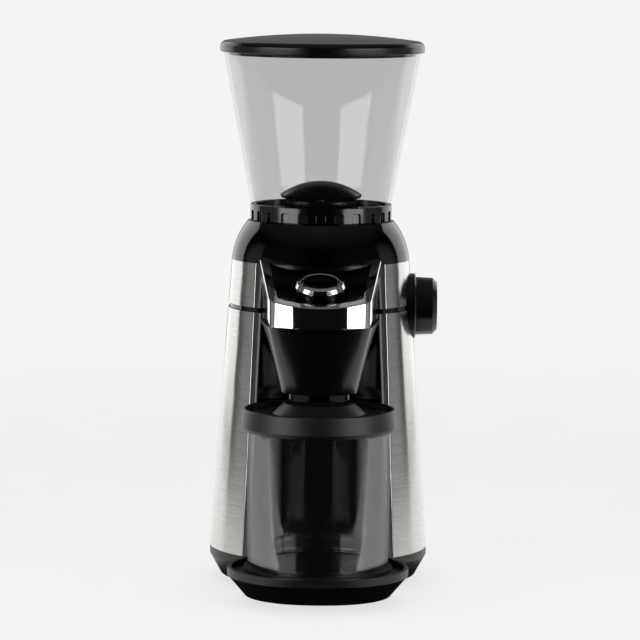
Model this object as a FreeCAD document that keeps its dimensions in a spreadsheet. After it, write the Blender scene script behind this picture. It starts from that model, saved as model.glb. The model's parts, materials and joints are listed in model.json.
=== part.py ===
import FreeCAD, Part
import math
import os
import re
import Sketcher
from FreeCAD import Placement, Rotation, Vector

# Burr coffee grinder, free-standing, in millimetres. +Z is up and the front faces -Y.
# Every sub-part is drawn about the burr axis at table level, then moved by axis_x and axis_y,
# so that the origin lies on the table under the middle of the whole object.
# Lengths named _f are measured forward from the burr axis, and _z up from the table.

SIZES = {
    # Tapered body and its steel
    "base_r": 79.5, "base_top_z": 25, "shoulder_r": 64.7, "shoulder_z": 236.5,
    "steel_gauge": 0.8, "skin_gap": 0.15, "shell_wall": 2.4, "seat_gap": 0.2, "press_gap": 0.04,
    "run_fit": 0.06, "end_play": 0.4, "band_high": 32, "seam_wide": 3.5, "seam_depth": 1.3,
    "seam_end_gap": 2, "mouth_low_strip": 5.3, "mouth_high_strip": 6.5,
    # Container bay in the front of the body
    "bay_clear": 2.8, "bay_over": 5, "plate_clear": 0.6, "motor_clear": 3.1,
    # Base, tray and feet
    "tray_side": 11.5, "tray_front": 9, "tray_mid": 3, "tray_bow": 30.5, "tray_neck": 38,
    "tray_rim": 3, "moat_depth": 4, "moat_gap": 1, "seat_rim": 2.6, "base_split_z": 19.5, "base_low_z": 5,
    "skirt_in": 8, "tray_skirt_in": 12.4, "pan_floor": 3, "pan_wall": 13.5,
    "front_foot_in": 19.6, "front_foot_back": 17, "front_foot_r": 6.4,
    "rear_foot_in": 13, "rear_foot_turn": 21.2, "rear_foot_r": 7.5,
    "foot_boss_rim": 1, "foot_boss_high": 7, "foot_stem_r": 2.5, "foot_stem_high": 5,
    "screw_x": 34, "screw_front_y": -30, "screw_rear_y": 44, "screw_r": 1.6, "screw_head_r": 3.2,
    "screw_head_high": 2, "screw_sink": 2.4, "screw_boss_rim": 1,
    # Head dome
    "dome_high": 28, "dome_ledge": 1.5, "dome_land": 1, "dome_bend_r": 49.6, "dome_wall": 2.4,
    # Grind-setting ring
    "ring_r": 51.5, "ring_gap": 0.7, "ring_tall": 11.3, "ring_wall": 3.9, "ring_web": 3.1,
    "ring_over_neck": 5.2,
    "sleeve_gap": 0.4, "sleeve_wall": 2.5, "sleeve_tall": 15.2,
    "notch_count": 24, "notch_wide": 6.8, "notch_high": 7, "notch_deep": 1.8, "notch_round": 1.6,
    # Hopper, its floor, guard and lid
    "total_high": 400, "hopper_high_r": 72.1, "hopper_in": 0.5, "hopper_wall": 2.5, "spigot_gap": 0.3,
    "floor_lift": 1.4, "floor_thick": 3, "floor_gap": 0.3, "throat_r": 22,
    "collar_r": 31, "collar_wall": 2.5, "collar_tall": 6.4, "collar_window_deg": 62,
    "floor_slot_x": 39, "floor_slot_long": 8, "floor_slot_wide": 3, "floor_slot_round": 1.6,
    "guard_r": 29.9, "guard_gap": 1.6, "guard_dome": 10, "guard_lip_high": 2, "guard_lip_in": 1.2,
    "guard_wall": 2, "guard_leg_r": 2.2, "guard_leg_at": 25.5,
    "lid_over": 2.2, "lid_crown": 5, "lid_tall": 10, "lid_skirt": 3, "lid_rim": 1.5, "lid_edge_in": 3.7,
    "lid_edge_round": 4.6, "lid_wall": 2.4, "lid_lip": 1.5, "lid_plug_gap": 0.6, "lid_plug_tall": 7.5,
    "lid_plug_wall": 2,
    # Nose: control panel, bezel and chute
    "nose_front": 38, "nose_bow_r": 58, "nose_front_at": 27.3, "nose_back_at": 37, "nose_taper": 7,
    "nose_side_gap": 4, "nose_corner_r": 14, "nose_drop": 3, "nose_front_high": 15, "panel_tilt": 18,
    "bezel_wall": 1.4, "bezel_lip": 7, "bezel_thick": 1.8, "bezel_gap": 0.1, "horn_high": 6,
    "horn_start": 13,
    "horn_full": 30, "tail_bridge": 3, "panel_wall": 2.4, "panel_cavity_in": 3, "panel_cavity_front": 16,
    "panel_cavity_back": 70, "shell_clear": 0.3,
    "chute_high": 48, "chute_rim": 5.2, "chute_wall": 2, "chute_floor": 2, "chute_back": 38.5,
    "chute_spout_gap": 0.4,
    "nozzle_r": 22, "nozzle_wall": 2.5, "nozzle_reach": 5.3, "nozzle_rim": 2, "nozzle_flange": 2,
    # Start button, drawn about its own axis from the panel's surface up
    "button_at": 9, "button_r": 17.6, "button_low": 5.6, "button_edge": 6.3, "button_high": 8.7,
    "cap_r": 12.4, "cap_dish": 1.6, "cap_thick": 3,
    "button_sleeve_r": 14.2, "button_sleeve_low": -3.5, "button_sleeve_gap": 0.4,
    "button_collar_r": 16.7, "button_collar_high": 3.6,
    "stem_r": 4, "stem_low": -10.9, "spring_r": 7.4, "spring_in_r": 5.8,
    "bracket_low": -9, "bracket_high": -7, "bracket_half_x": 24, "bracket_half_y": 7,
    "bracket_hole_gap": 0.7,
    "bracket_post_r": 2.6, "bracket_post_x": 20.5, "cheek_thick": 1.6,
    "switch_half_x": 10, "switch_half_y": 3.2, "switch_low": -21, "switch_high": -13.6,
    "switch_pin_r": 1.6, "switch_pin_high": -12.7,
    # Timer knob, drawn about its own axis from the burr axis out
    "knob_over_seam": 1, "knob_r": 21.2, "knob_tip_r": 20.6, "knob_face_r": 17.6, "knob_straight": 11.8,
    "knob_long": 15, "knob_wall": 2.6, "knob_gap": 0.4, "knob_hub_r": 6, "knob_hub_gap": 2,
    "knob_disc_r": 15.5, "knob_disc_deep": 1.2, "knob_mark_wide": 1.6, "knob_mark_deep": 0.8,
    "knob_plate_rim": 2.6, "knob_plate_proud": 2.7, "knob_plate_wall": 3, "knob_plate_edge": 1,
    "knob_flange_rim": 3.2, "knob_flange": 2.6,
    "pot_r": 8.5, "pot_long": 14.8, "pot_bush_r": 4.5, "pot_bush_long": 9, "pot_shaft_r": 3,
    "pot_shaft_in": 6, "pot_shaft_cover": 5.2,
    # Cup and its lid
    "cup_high_r": 51.7, "cup_taper": 1.3, "cup_wall": 2, "cup_floor": 2.6, "cup_foot_round": 3,
    "cup_lid_rim": 3.5, "cup_lid_taper": 1.3, "cup_lid_tall": 15.5, "cup_lid_chamfer": 2.6,
    "cup_lid_gap": 0.4,
    "cup_lid_wall": 2, "cup_lid_dish": 3.5, "cup_lid_seat": 7, "cup_lid_ledge": 3, "cup_lid_edge": 2.2,
    "cup_lid_slope": 2, "mouth_cone": 8.2, "mouth_over": 2.8, "mouth_rise": 4, "mouth_gap": 2.7,
    # Mains lead inlet
    "inlet_z": 44, "inlet_r": 7, "inlet_bore_r": 3.4, "inlet_tail": 1,
    # Motor
    "motor_r": 28.5, "motor_long": 84.6, "motor_gap": 0.4, "motor_wall": 1.6, "motor_top": 3,
    "bell_tall": 6, "bell_thick": 3, "bell_boss_wall": 3, "magnet_thick": 3.2, "magnet_half_deg": 62,
    "magnet_start": 16, "magnet_long": 54, "core_gap": 0.6, "core_start": 20, "core_long": 46,
    "core_slots": 12, "core_slot_wide": 3, "core_slot_deep": 10, "shaft_r": 2.5, "shaft_clear": 1,
    "shaft_tail": 0.6, "shaft_tip": 0.5, "commutator_r": 8.5, "commutator_start": 4, "commutator_long": 12,
    "motor_bearing_r": 6, "motor_bearing_high": 4, "brush_half": 2.4, "brush_gap": 0.3, "brush_in": 4.5,
    "brush_holder": 4,
    # Frame and planetary gear
    "post_r": 3, "post_gap": 1.1, "plate_rim": 0.4, "plate_lift": 0.3, "plate_thick": 2.6,
    "plate_hole_r": 8,
    "gear_module": 1, "sun_teeth": 18, "planet_teeth": 18, "ring_teeth": 54, "pressure_angle": 20,
    "backlash": 0.16, "gear_lift": 1.4, "gear_wide": 8, "case_wall": 5, "case_tall": 10.6,
    "pin_r": 2.44, "pin_lift": 0.8, "carrier_rim": 3, "carrier_gap": 0.4, "carrier_thick": 3,
    "thrust_high": 0.4,
    "hub_r": 8, "hub_tall": 2.8, "cover_wall": 4.5, "cover_tall": 9.3, "cover_top": 2.5, "cover_hole_r": 10,
    # Burr set
    "burr_shaft_r": 4, "burr_shaft_tip": 6, "burr_bearing_r": 11, "burr_bearing_gap": 0.5,
    "shaft_hole_gap": 0.5,
    "chamber_boss_tall": 7, "chamber_boss_wall": 3, "chamber_floor": 3, "chamber_wall": 2.5,
    "chamber_gap": 1.2,
    "chamber_drop": 0.5, "spout_half": 12, "spout_lift": 0.4, "spout_tall": 11.1, "spout_wall": 1.5,
    "spout_reach": 4,
    "key_wide": 4, "key_side_gap": 0.3, "key_in": 0.7, "key_tall": 10.5, "key_gap": 0.5,
    "ejector_gap": 0.8, "ejector_lift": 2, "ejector_thick": 2, "ejector_hub_r": 9,
    "paddle_count": 6, "paddle_wide": 2, "paddle_high": 9, "paddle_in": 0.5,
    "cone_drop": 2, "cone_tall": 20.8, "cone_low_r": 19.1, "cone_high_r": 8.5, "cone_rim": 3,
    "flute_count": 12, "flute_wide": 3, "flute_deep": 2.2, "flute_lean_deg": 24, "nut_r": 7.5,
    "nut_high": 5,
    "burr_ring_r": 26, "burr_ring_tall": 13.8, "burr_ring_drop": 11.5, "burr_gap": 0.7,
    "burr_ring_slope": 2.6,
    "groove_count": 24, "groove_wide": 1.6, "groove_deep": 1.2, "burr_seat_gap": 0.1,
    "holder_wall": 4, "holder_slope": 3, "flange_lift": 1, "carrier_rise": 0.8, "carrier_edge": 3,
    "throat_high": 4,
    # Electrics
    "board_half_x": 26, "board_low_y": -12, "board_high_y": 28, "board_lift": 8, "board_thick": 1.6,
    "standoff_r": 3, "standoff_in": 5, "relay_left_x": -20, "relay_right_x": -2, "relay_low_y": -2,
    "relay_high_y": 22, "relay_high": 14, "capacitor_x": 12, "capacitor_near_y": 2, "capacitor_far_y": 18,
    "capacitor_r": 7, "capacitor_high": 16,
    "hopper_switch_tall": 11, "hopper_switch_deep": 7, "hopper_switch_half": 8, "hopper_switch_pin_r": 1.4,
    "hopper_switch_pin_at": 5.5, "hopper_switch_gap": 0.4,
}

# Sizes that follow from the ones above, so that pieces which fit together move together
FOLLOW = {
    # Steps up from the base: cup, bay, chute and nose hang from the shoulder of the body
    "seam_high_z": "shoulder_z - band_high", "seam_low_z": "seam_high_z - seam_wide",
    "knob_z": "seam_low_z + knob_over_seam", "nose_low_z": "seam_low_z - nose_drop",
    "nose_high_z": "nose_low_z + nose_front_high", "chute_low_z": "nose_low_z - chute_high",
    "nozzle_low_z": "chute_low_z - nozzle_reach", "mouth_high_z": "nozzle_low_z - mouth_gap",
    "cup_lid_high_z": "mouth_high_z - mouth_rise", "cup_lid_low_z": "cup_lid_high_z - cup_lid_tall",
    "cup_lid_dish_z": "cup_lid_high_z - cup_lid_dish", "cup_high_z": "cup_lid_high_z - cup_lid_seat",
    "cup_low_z": "base_top_z + seat_gap", "bay_top_z": "mouth_high_z + bay_over",
    # Cup, bay and tray, out from the cup's axis
    "cup_low_r": "cup_high_r - cup_taper", "cup_lid_r": "cup_high_r + cup_lid_rim",
    "cup_lid_top_r": "cup_lid_r - cup_lid_taper", "bay_r": "cup_lid_r + bay_clear",
    "cup_f": "motor_r + motor_clear + shell_wall + bay_r", "seat_r": "cup_low_r + seat_rim",
    "tray_half": "seat_r + tray_side", "tray_mid_f": "cup_f + tray_mid",
    "tray_front_f": "cup_f + seat_r + tray_front", "tray_bow_r": "tray_half + tray_bow",
    "tray_back_f": "tray_mid_f - tray_neck", "mouth_r": "nozzle_r + mouth_over",
    "mouth_cone_r": "mouth_r + mouth_cone",
    # Base and feet
    "pan_r": "base_r - pan_wall", "front_foot_x": "tray_half - front_foot_in",
    "front_foot_f": "tray_mid_f - front_foot_back",
    "rear_foot_x": "(base_r - rear_foot_in) * cos(rear_foot_turn * 1deg)",
    "rear_foot_back": "(base_r - rear_foot_in) * sin(rear_foot_turn * 1deg)",
    "board_z": "base_top_z + board_lift",
    # Head: dome, setting ring, hopper and lid
    "dome_top_z": "shoulder_z + dome_high", "dome_top_r": "ring_r + dome_ledge",
    "neck_r": "ring_r - ring_over_neck",
    "ring_low_z": "dome_top_z + ring_gap", "ring_high_z": "ring_low_z + ring_tall",
    "ring_bore_r": "ring_r - ring_wall", "ring_web_z": "ring_low_z + ring_web",
    "sleeve_r": "neck_r - sleeve_gap", "sleeve_in_r": "sleeve_r - sleeve_wall",
    "sleeve_low_z": "ring_low_z - sleeve_tall",
    "hopper_low_r": "ring_r - hopper_in", "hopper_low_z": "ring_high_z + seat_gap",
    "hopper_high_z": "total_high - lid_tall", "spigot_r": "ring_bore_r - spigot_gap",
    "spigot_low_z": "ring_web_z + spigot_gap", "floor_low_z": "spigot_low_z + floor_lift",
    "floor_deck_z": "floor_low_z + floor_thick", "collar_high_z": "floor_deck_z + collar_tall",
    "guard_rim_z": "collar_high_z + guard_gap", "guard_edge_z": "guard_rim_z + guard_lip_high",
    "guard_top_z": "guard_edge_z + guard_dome",
    "lid_r": "hopper_high_r + lid_over", "lid_edge_r": "lid_r - lid_edge_in",
    "lid_edge_z": "total_high - lid_crown", "lid_rim_low_z": "hopper_high_z - lid_skirt",
    "lid_rim_high_z": "hopper_high_z + lid_rim", "lid_plug_low_z": "hopper_high_z - lid_plug_tall",
    # Nose
    "nose_front_f": "cup_f + nose_front", "nose_front_at_f": "cup_f + nose_front_at",
    "nose_back_at_f": "cup_f - nose_back_at", "nose_tail_f": "shelf_f + plate_clear",
    "nose_front_half": "nose_back_half - nose_taper", "horn_start_f": "nose_front_f - horn_start",
    "horn_full_f": "nose_front_f - horn_full", "panel_cavity_half": "nose_front_half - panel_cavity_in",
    "panel_cavity_front_f": "nose_front_f - panel_cavity_front",
    "panel_cavity_back_f": "nose_front_f - panel_cavity_back",
    "chute_low_r": "nozzle_r + chute_rim", "chute_back_f": "cup_f - chute_back",
    "nozzle_flange_r": "nozzle_r + nozzle_rim", "button_f": "cup_f + button_at",
    "button_collar_in_r": "button_sleeve_r + button_sleeve_gap", "panel_sunk": "bezel_thick + bezel_gap",
    # Knob, out from the wall that carries it
    "knob_plate_r": "knob_r + knob_plate_rim", "knob_hole_r": "knob_plate_r + end_play",
    "knob_flange_r": "knob_plate_r + knob_flange_rim", "knob_flange_low_x": "knob_seat_x - knob_flange",
    "knob_low_x": "knob_plate_high_x + knob_gap", "knob_bevel_x": "knob_low_x + knob_straight",
    "knob_end_x": "knob_low_x + knob_long", "pot_high_x": "knob_flange_low_x - seat_gap",
    "pot_low_x": "pot_high_x - pot_long", "pot_bush_high_x": "knob_flange_low_x + pot_bush_long",
    "pot_shaft_low_x": "pot_low_x + pot_shaft_in", "pot_shaft_high_x": "knob_end_x - pot_shaft_cover",
    # Motor and gears, hung under and stood on one plate
    "plate_low_z": "bay_top_z + shell_wall + plate_lift", "plate_high_z": "plate_low_z + plate_thick",
    "motor_high_z": "plate_low_z - motor_gap", "motor_low_z": "motor_high_z - motor_long",
    "bell_low_z": "motor_low_z - bell_tall", "magnet_r": "motor_r - motor_wall - seat_gap",
    "magnet_in_r": "magnet_r - magnet_thick", "magnet_low_z": "motor_low_z + magnet_start",
    "magnet_high_z": "magnet_low_z + magnet_long", "core_r": "magnet_in_r - core_gap",
    "core_low_z": "motor_low_z + core_start", "core_high_z": "core_low_z + core_long",
    "core_slot_r": "core_r - core_slot_deep", "commutator_low_z": "motor_low_z + commutator_start",
    "commutator_high_z": "commutator_low_z + commutator_long", "brush_end_r": "motor_r - brush_in",
    "shaft_low_z": "bell_low_z + shaft_tail", "shaft_high_z": "gear_high_z + shaft_tip",
    "post_at_r": "motor_r + post_r + post_gap",
    "plate_r": "max(post_at_r + post_r + plate_rim; case_r + post_r)",
    "shelf_f": "max(plate_r; chamber_r + chamber_wall) + plate_clear + shell_wall",
    "gear_low_z": "plate_high_z + gear_lift", "gear_high_z": "gear_low_z + gear_wide",
    "planet_at_r": "gear_module * (sun_teeth + planet_teeth) / 2",
    "case_r": "gear_module * ring_teeth / 2 + case_wall", "case_high_z": "plate_high_z + case_tall",
    "pin_low_z": "plate_high_z + pin_lift", "carrier_r": "planet_at_r + pin_r + carrier_rim",
    "carrier_low_z": "case_high_z + carrier_gap", "carrier_high_z": "carrier_low_z + carrier_thick",
    "hub_high_z": "carrier_high_z + hub_tall", "cover_in_r": "case_r - cover_wall",
    "cover_top_z": "case_high_z + cover_tall",
    # Burr chamber on the gear cover, burrs hung in the setting ring
    "chamber_floor_z": "cover_top_z + chamber_boss_tall",
    "chamber_deck_z": "chamber_floor_z + chamber_floor",
    "chamber_high_z": "holder_step_z - chamber_drop", "chamber_in_r": "holder_r + chamber_gap",
    "chamber_r": "chamber_in_r + chamber_wall", "chamber_boss_r": "burr_bearing_r + chamber_boss_wall",
    "burr_bearing_low_z": "cover_top_z + burr_bearing_gap",
    "burr_bearing_high_z": "chamber_floor_z - seat_gap",
    "spout_low_z": "chamber_deck_z + spout_lift", "spout_high_z": "spout_low_z + spout_tall",
    "spout_end_f": "shelf_f + spout_reach", "key_r": "chamber_r - key_in",
    "key_low_z": "chamber_high_z - key_tall",
    "ejector_r": "chamber_in_r - ejector_gap", "ejector_low_z": "chamber_deck_z + ejector_lift",
    "ejector_high_z": "cone_low_z - seat_gap", "cone_low_z": "burr_ring_low_z - cone_drop",
    "cone_high_z": "cone_low_z + cone_tall", "burr_shaft_high_z": "cone_high_z + burr_shaft_tip",
    "burr_ring_high_z": "chamber_high_z - burr_ring_drop",
    "burr_ring_low_z": "burr_ring_high_z - burr_ring_tall",
    "burr_ring_low_in_r": "cone_low_r + burr_gap",
    "burr_ring_high_in_r": "burr_ring_low_in_r - burr_ring_slope",
    "holder_r": "burr_ring_r + holder_wall", "holder_low_z": "burr_ring_low_z - seat_gap",
    "holder_step_z": "carrier_flange_low_z - holder_slope",
    "carrier_flange_low_z": "sleeve_low_z + flange_lift",
    "carrier_flange_r": "sleeve_in_r - sleeve_gap", "carrier_top_z": "ring_low_z + carrier_rise",
    "carrier_mouth_r": "carrier_flange_r - carrier_edge", "carrier_throat_r": "burr_ring_high_in_r",
    "hopper_switch_high_z": "chamber_high_z - chamber_drop",
    "hopper_switch_low_z": "hopper_switch_high_z - hopper_switch_tall",
    "hopper_switch_pin_in_r": "chamber_r + hopper_switch_pin_at - hopper_switch_pin_r",
    "holder_rise": "holder_slope / (carrier_flange_r - holder_r)",
    "hopper_switch_slope_z": "holder_step_z + (hopper_switch_pin_in_r - holder_r) * holder_rise",
    "hopper_switch_pin_z": "hopper_switch_slope_z - hopper_switch_gap",
}

# Middle of the whole object, and how far cutters reach past what they cut
AXIS_X = "(base_r - knob_end_x) / 2"
AXIS_Y = "(tray_front_f - base_r) / 2"
OVER = "1"
REACH = "20"
FAR = "400"

doc = FreeCAD.newDocument("coffee_grinder")
sheet = doc.addObject("Spreadsheet::Sheet", "Sizes")
for row, (alias, value) in enumerate(SIZES.items(), start=1):
    sheet.set(f"A{row}", alias)
    sheet.set(f"B{row}", str(value))
    sheet.setAlias(f"B{row}", alias)
doc.recompute()

subparts = []


# Expressions over the sheet

def bound(text):
    # Writes the names of driving sizes as cells, and of sizes that follow as their formulas
    def spelled(word):
        name = word[0]
        if name in SIZES:
            return f"Sizes.{name}"
        return f"({bound(FOLLOW[name])})" if name in FOLLOW else name

    return re.sub(r"[a-z_]+", spelled, str(text))


def size(text):
    return float(sheet.evalExpression(bound(text)))


def between(z, low, high):
    # A straight line through two (value, height) points, read at height z
    return f"({low[0]} + ({z} - ({low[1]})) * (({high[0]}) - ({low[0]})) / (({high[1]}) - ({low[1]})))"


def shell_r(z, inset="0"):
    return between(z, ("base_r", "base_top_z"), ("shoulder_r", "shoulder_z")) + f" - ({inset})"


def housing_r(z):
    return shell_r(z, "steel_gauge + skin_gap")


def housing_in_r(z):
    return shell_r(z, "steel_gauge + skin_gap + shell_wall")


def mouth_edge(radius, strip):
    # Half the width where the bay's wall meets the body's circle, and a strip beside it
    middle = f"(({radius}^2 - bay_r^2 + cup_f^2) / (2 * cup_f))"
    return f"(sqrt({radius}^2 - {middle}^2) + {strip})"


FOLLOW["mouth_low_half"] = mouth_edge("base_r", "mouth_low_strip")
FOLLOW["mouth_high_half"] = mouth_edge("shoulder_r", "mouth_high_strip")
FOLLOW["nose_back_half"] = "mouth_high_half - nose_side_gap"
FOLLOW["body_lean"] = "(base_r - shoulder_r) / (shoulder_z - base_top_z)"
# Nearest that the flat flange comes to the round and leaning wall
FOLLOW["knob_seat_x"] = (f"sqrt(({housing_in_r('knob_z')})^2 / (1 + body_lean^2) - knob_flange_r^2)"
                         " - seat_gap")
FOLLOW["knob_plate_high_x"] = f"{shell_r('knob_z')} + knob_plate_proud"


def mouth_half(z):
    return between(z, ("mouth_low_half", "base_top_z"), ("mouth_high_half", "shoulder_z"))


def dome_bow(half, rise):
    # Radius of the arc that is level on the axis and drops by rise at half
    return f"((({half})^2 + ({rise})^2) / (2 * ({rise})))"


def shelf_z(f):
    # Height of the sloping top of the nose
    return f"(nose_high_z + (nose_front_f - ({f})) * tan(panel_tilt * 1deg))"


# Document helpers

def placed(item, name, forward="0", lift="0", right="0", turn=None):
    item.Label = name
    if turn:
        axis, angle = turn
        item.Placement = Placement(Vector(), Rotation(axis, 1))
        item.setExpression("Placement.Rotation.Angle", bound(angle))
    item.setExpression("Placement.Base.x", bound(f"{AXIS_X} + ({right})"))
    item.setExpression("Placement.Base.y", bound(f"{AXIS_Y} - ({forward})"))
    item.setExpression("Placement.Base.z", bound(lift))
    subparts.append(item)
    return item


def new_body(name, **place):
    body = doc.addObject("PartDesign::Body", name)
    body.AllowCompound = True
    return placed(body, name, **place)


def new_sketch(body, plane="XY_Plane", at="0"):
    support = next(item for item in body.Origin.OriginFeatures if item.Role == plane)
    sketch = body.newObject("Sketcher::SketchObject", f"{body.Name}_sketch")
    sketch.AttachmentSupport = [(support, "")]
    sketch.MapMode = "FlatFace"
    sketch.setExpression("AttachmentOffset.Base.z", bound(at))
    return sketch


def constrain(sketch, kind, *where, value=None):
    if value is None:
        return sketch.addConstraint(Sketcher.Constraint(kind, *where))
    index = sketch.addConstraint(Sketcher.Constraint(kind, *where, size(value)))
    sketch.setExpression(f"Constraints[{index}]", bound(value))
    return index


def arc_between(start, end, radius):
    # The shorter arc from start to end: it bends left for a positive radius, right for a negative one
    first, last = (start, end) if radius > 0 else (end, start)
    chord = last - first
    rise = math.sqrt(max(radius * radius - chord.Length ** 2 / 4, 0))
    side = Vector(-chord.y, chord.x, 0).normalize()
    centre = (first + last) * 0.5 + side * rise
    angles = [math.atan2(p.y - centre.y, p.x - centre.x) for p in (first, last)]
    return Part.ArcOfCircle(Part.Circle(centre, Vector(0, 0, 1), abs(radius)), *angles)


def outline(sketch, points):
    # A closed outline. A third entry bends the edge that leaves its point into an arc of that radius
    spots = [Vector(size(point[0]), size(point[1]), 0) for point in points]
    count = len(points)
    first = sketch.GeometryCount
    starts = []
    for i, point in enumerate(points):
        start, end = spots[i], spots[(i + 1) % count]
        radius = size(point[2]) if len(point) > 2 else 0
        sketch.addGeometry(arc_between(start, end, radius) if radius else Part.LineSegment(start, end), False)
        starts.append(1 if radius >= 0 else 2)
    for i in range(count):
        after = (i + 1) % count
        constrain(sketch, "Coincident", first + i, 3 - starts[i], first + after, starts[after])
    for i, point in enumerate(points):
        constrain(sketch, "DistanceX", -1, 1, first + i, starts[i], value=point[0])
        constrain(sketch, "DistanceY", -1, 1, first + i, starts[i], value=point[1])
        if len(point) > 2:
            constrain(sketch, "Radius", first + i, value=f"abs({point[2]})")
    return sketch


def circles(sketch, entries):
    for x, y, radius in entries:
        index = sketch.addGeometry(
            Part.Circle(Vector(size(x), size(y), 0), Vector(0, 0, 1), size(radius)), False)
        constrain(sketch, "DistanceX", -1, 1, index, 3, value=x)
        constrain(sketch, "DistanceY", -1, 1, index, 3, value=y)
        constrain(sketch, "Radius", index, value=radius)
    return sketch


def box_points(x_low, y_low, x_high, y_high):
    return [(x_low, y_low), (x_high, y_low), (x_high, y_high), (x_low, y_high)]


def feature(body, kind, sketch):
    item = body.newObject(f"PartDesign::{kind}", f"{body.Name}_{kind}")
    item.Profile = sketch
    return item


def pad(body, sketch, length, symmetric=False):
    item = feature(body, "Pad", sketch)
    item.SideType = "Symmetric" if symmetric else "One side"
    item.setExpression("Length", bound(length))
    return item


def pocket(body, sketch, length=None, reverse=False, symmetric=False):
    # Cuts away from the sketch's normal, or along it with reverse; right through with no length
    item = feature(body, "Pocket", sketch)
    item.SideType = "Symmetric" if symmetric else "One side"
    item.Reversed = reverse
    if length is None:
        item.Type = "ThroughAll"
    else:
        item.setExpression("Length", bound(length))
    return item


def turned(body, points, kind="Revolution"):
    sketch = outline(new_sketch(body, "XZ_Plane"), points)
    item = feature(body, kind, sketch)
    item.ReferenceAxis = (sketch, ["V_Axis"])
    item.Angle = 360
    return item


def polar(body, item, count):
    pattern = body.newObject("PartDesign::PolarPattern", f"{body.Name}_pattern")
    pattern.Originals = [item]
    pattern.Axis = (next(line for line in body.Origin.OriginFeatures if line.Role == "Z_Axis"), [""])
    pattern.Angle = 360
    pattern.setExpression("Occurrences", bound(count))
    body.Tip = pattern
    return pattern


def four(x, front_y, rear_y, radius, rear_x=None, rear_radius=None):
    # Four circles, mirrored about the middle
    rear_x, rear_radius = rear_x or x, rear_radius or radius
    return [(f"{side} * {across}", y, r) for side in (-1, 1)
            for across, y, r in ((x, front_y, radius), (rear_x, rear_y, rear_radius))]


# Base, tray and feet

def tray_sketch(body, z, inset):
    # Flat front bow between two corner arcs that curl back to the body
    reach = "(tray_mid_f - tray_front_f + tray_bow_r)"
    corner = f"((tray_bow_r^2 - tray_half^2 - {reach}^2) / (2 * (tray_bow_r - tray_half)))"
    across = f"(tray_half - {corner})"
    bow = f"(tray_bow_r - ({inset}))"
    bend = f"({corner} - ({inset}))"
    meet_x = f"({bow} * {across} / (tray_bow_r - {corner}))"
    meet_y = f"(tray_bow_r - tray_front_f - {bow} * {reach} / (tray_bow_r - {corner}))"
    back_x = f"({across} + sqrt({bend}^2 - (tray_mid_f - tray_back_f)^2))"
    return outline(new_sketch(body, at=z), [
        (f"-{back_x}", "-tray_back_f", bend),
        (f"-{meet_x}", meet_y, bow),
        (meet_x, meet_y, bend),
        (back_x, "-tray_back_f"),
    ])


def foot_circles(rim):
    return four("front_foot_x", "-front_foot_f", "rear_foot_back", f"front_foot_r + {rim}",
                "rear_foot_x", f"rear_foot_r + {rim}")


def stem_circles(gap):
    return four("front_foot_x", "-front_foot_f", "rear_foot_back", f"foot_stem_r + {gap}", "rear_foot_x")


def screw_circles(radius):
    return four("screw_x", "screw_front_y", "screw_rear_y", radius)


def board_circles(radius):
    return four("(board_half_x - standoff_in)", "board_low_y + standoff_in",
                "board_high_y - standoff_in", radius)


def make_base_tray():
    body = new_body("base_tray")
    high = "base_top_z - base_split_z"
    cup_spot = ("0", "-cup_f")
    pad(body, circles(new_sketch(body, at="base_split_z"), [("0", "0", "base_r")]), high)
    pad(body, tray_sketch(body, "base_split_z", "0"), high)
    pocket(body, tray_sketch(body, "base_top_z", "tray_rim"), "moat_depth")
    pocket(body, circles(new_sketch(body, at="base_top_z"), [(*cup_spot, "bay_r - moat_gap")]), "moat_depth")
    seat = circles(new_sketch(body, at="base_top_z - moat_depth"), [(*cup_spot, "seat_r")])
    pad(body, seat, "moat_depth")
    pad(body, circles(new_sketch(body, at="base_top_z"), board_circles("standoff_r")), "board_lift")
    pocket(body, circles(new_sketch(body, at="base_top_z"), screw_circles("screw_r + skin_gap")))


def make_bottom_cover():
    body = new_body("bottom_cover")
    turned(body, [
        ("0", "base_low_z"), ("base_r - skirt_in", "base_low_z"), ("base_r", "base_split_z"),
        ("pan_r", "base_split_z"), ("pan_r", "base_low_z + pan_floor"), ("0", "base_low_z + pan_floor"),
    ])
    loft = feature(body, "AdditiveLoft", tray_sketch(body, "base_split_z", "0"))
    loft.Sections = [(tray_sketch(body, "base_low_z", "tray_skirt_in"), [""])]
    loft.Ruled = True
    pad(body, circles(new_sketch(body, at="base_low_z"), foot_circles("foot_boss_rim")), "foot_boss_high")
    pad(body, circles(new_sketch(body, at="base_low_z"), screw_circles("screw_head_r + screw_boss_rim")),
        "base_split_z - base_low_z")
    stems = circles(new_sketch(body, at="base_low_z"), stem_circles("skin_gap"))
    pocket(body, stems, "foot_stem_high + seat_gap", reverse=True)
    heads = circles(new_sketch(body, at="base_low_z"), screw_circles("screw_head_r + skin_gap"))
    pocket(body, heads, "screw_sink", reverse=True)
    holes = circles(new_sketch(body, at="base_low_z"), screw_circles("screw_r + skin_gap"))
    pocket(body, holes, reverse=True)


def make_rubber_feet():
    body = new_body("rubber_feet")
    pad(body, circles(new_sketch(body), foot_circles("0")), "base_low_z")
    pad(body, circles(new_sketch(body, at="base_low_z"), stem_circles("0")), "foot_stem_high")


def make_cover_screws():
    body = new_body("cover_screws")
    seat = "(base_low_z + screw_sink)"
    pad(body, circles(new_sketch(body, at=f"{seat} - screw_head_high"), screw_circles("screw_head_r")),
        "screw_head_high")
    shanks = circles(new_sketch(body, at=seat), screw_circles("screw_r"))
    pad(body, shanks, f"base_top_z - seat_gap - {seat}")


# Body shells

def wall_profile(low, high, outer, inner):
    return [(outer(low), low), (outer(high), high), (inner(high), high), (inner(low), low)]


def cut_knob_hole(body):
    pocket(body, circles(new_sketch(body, "YZ_Plane"), [("0", "knob_z", "knob_hole_r")]), reverse=True)


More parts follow.
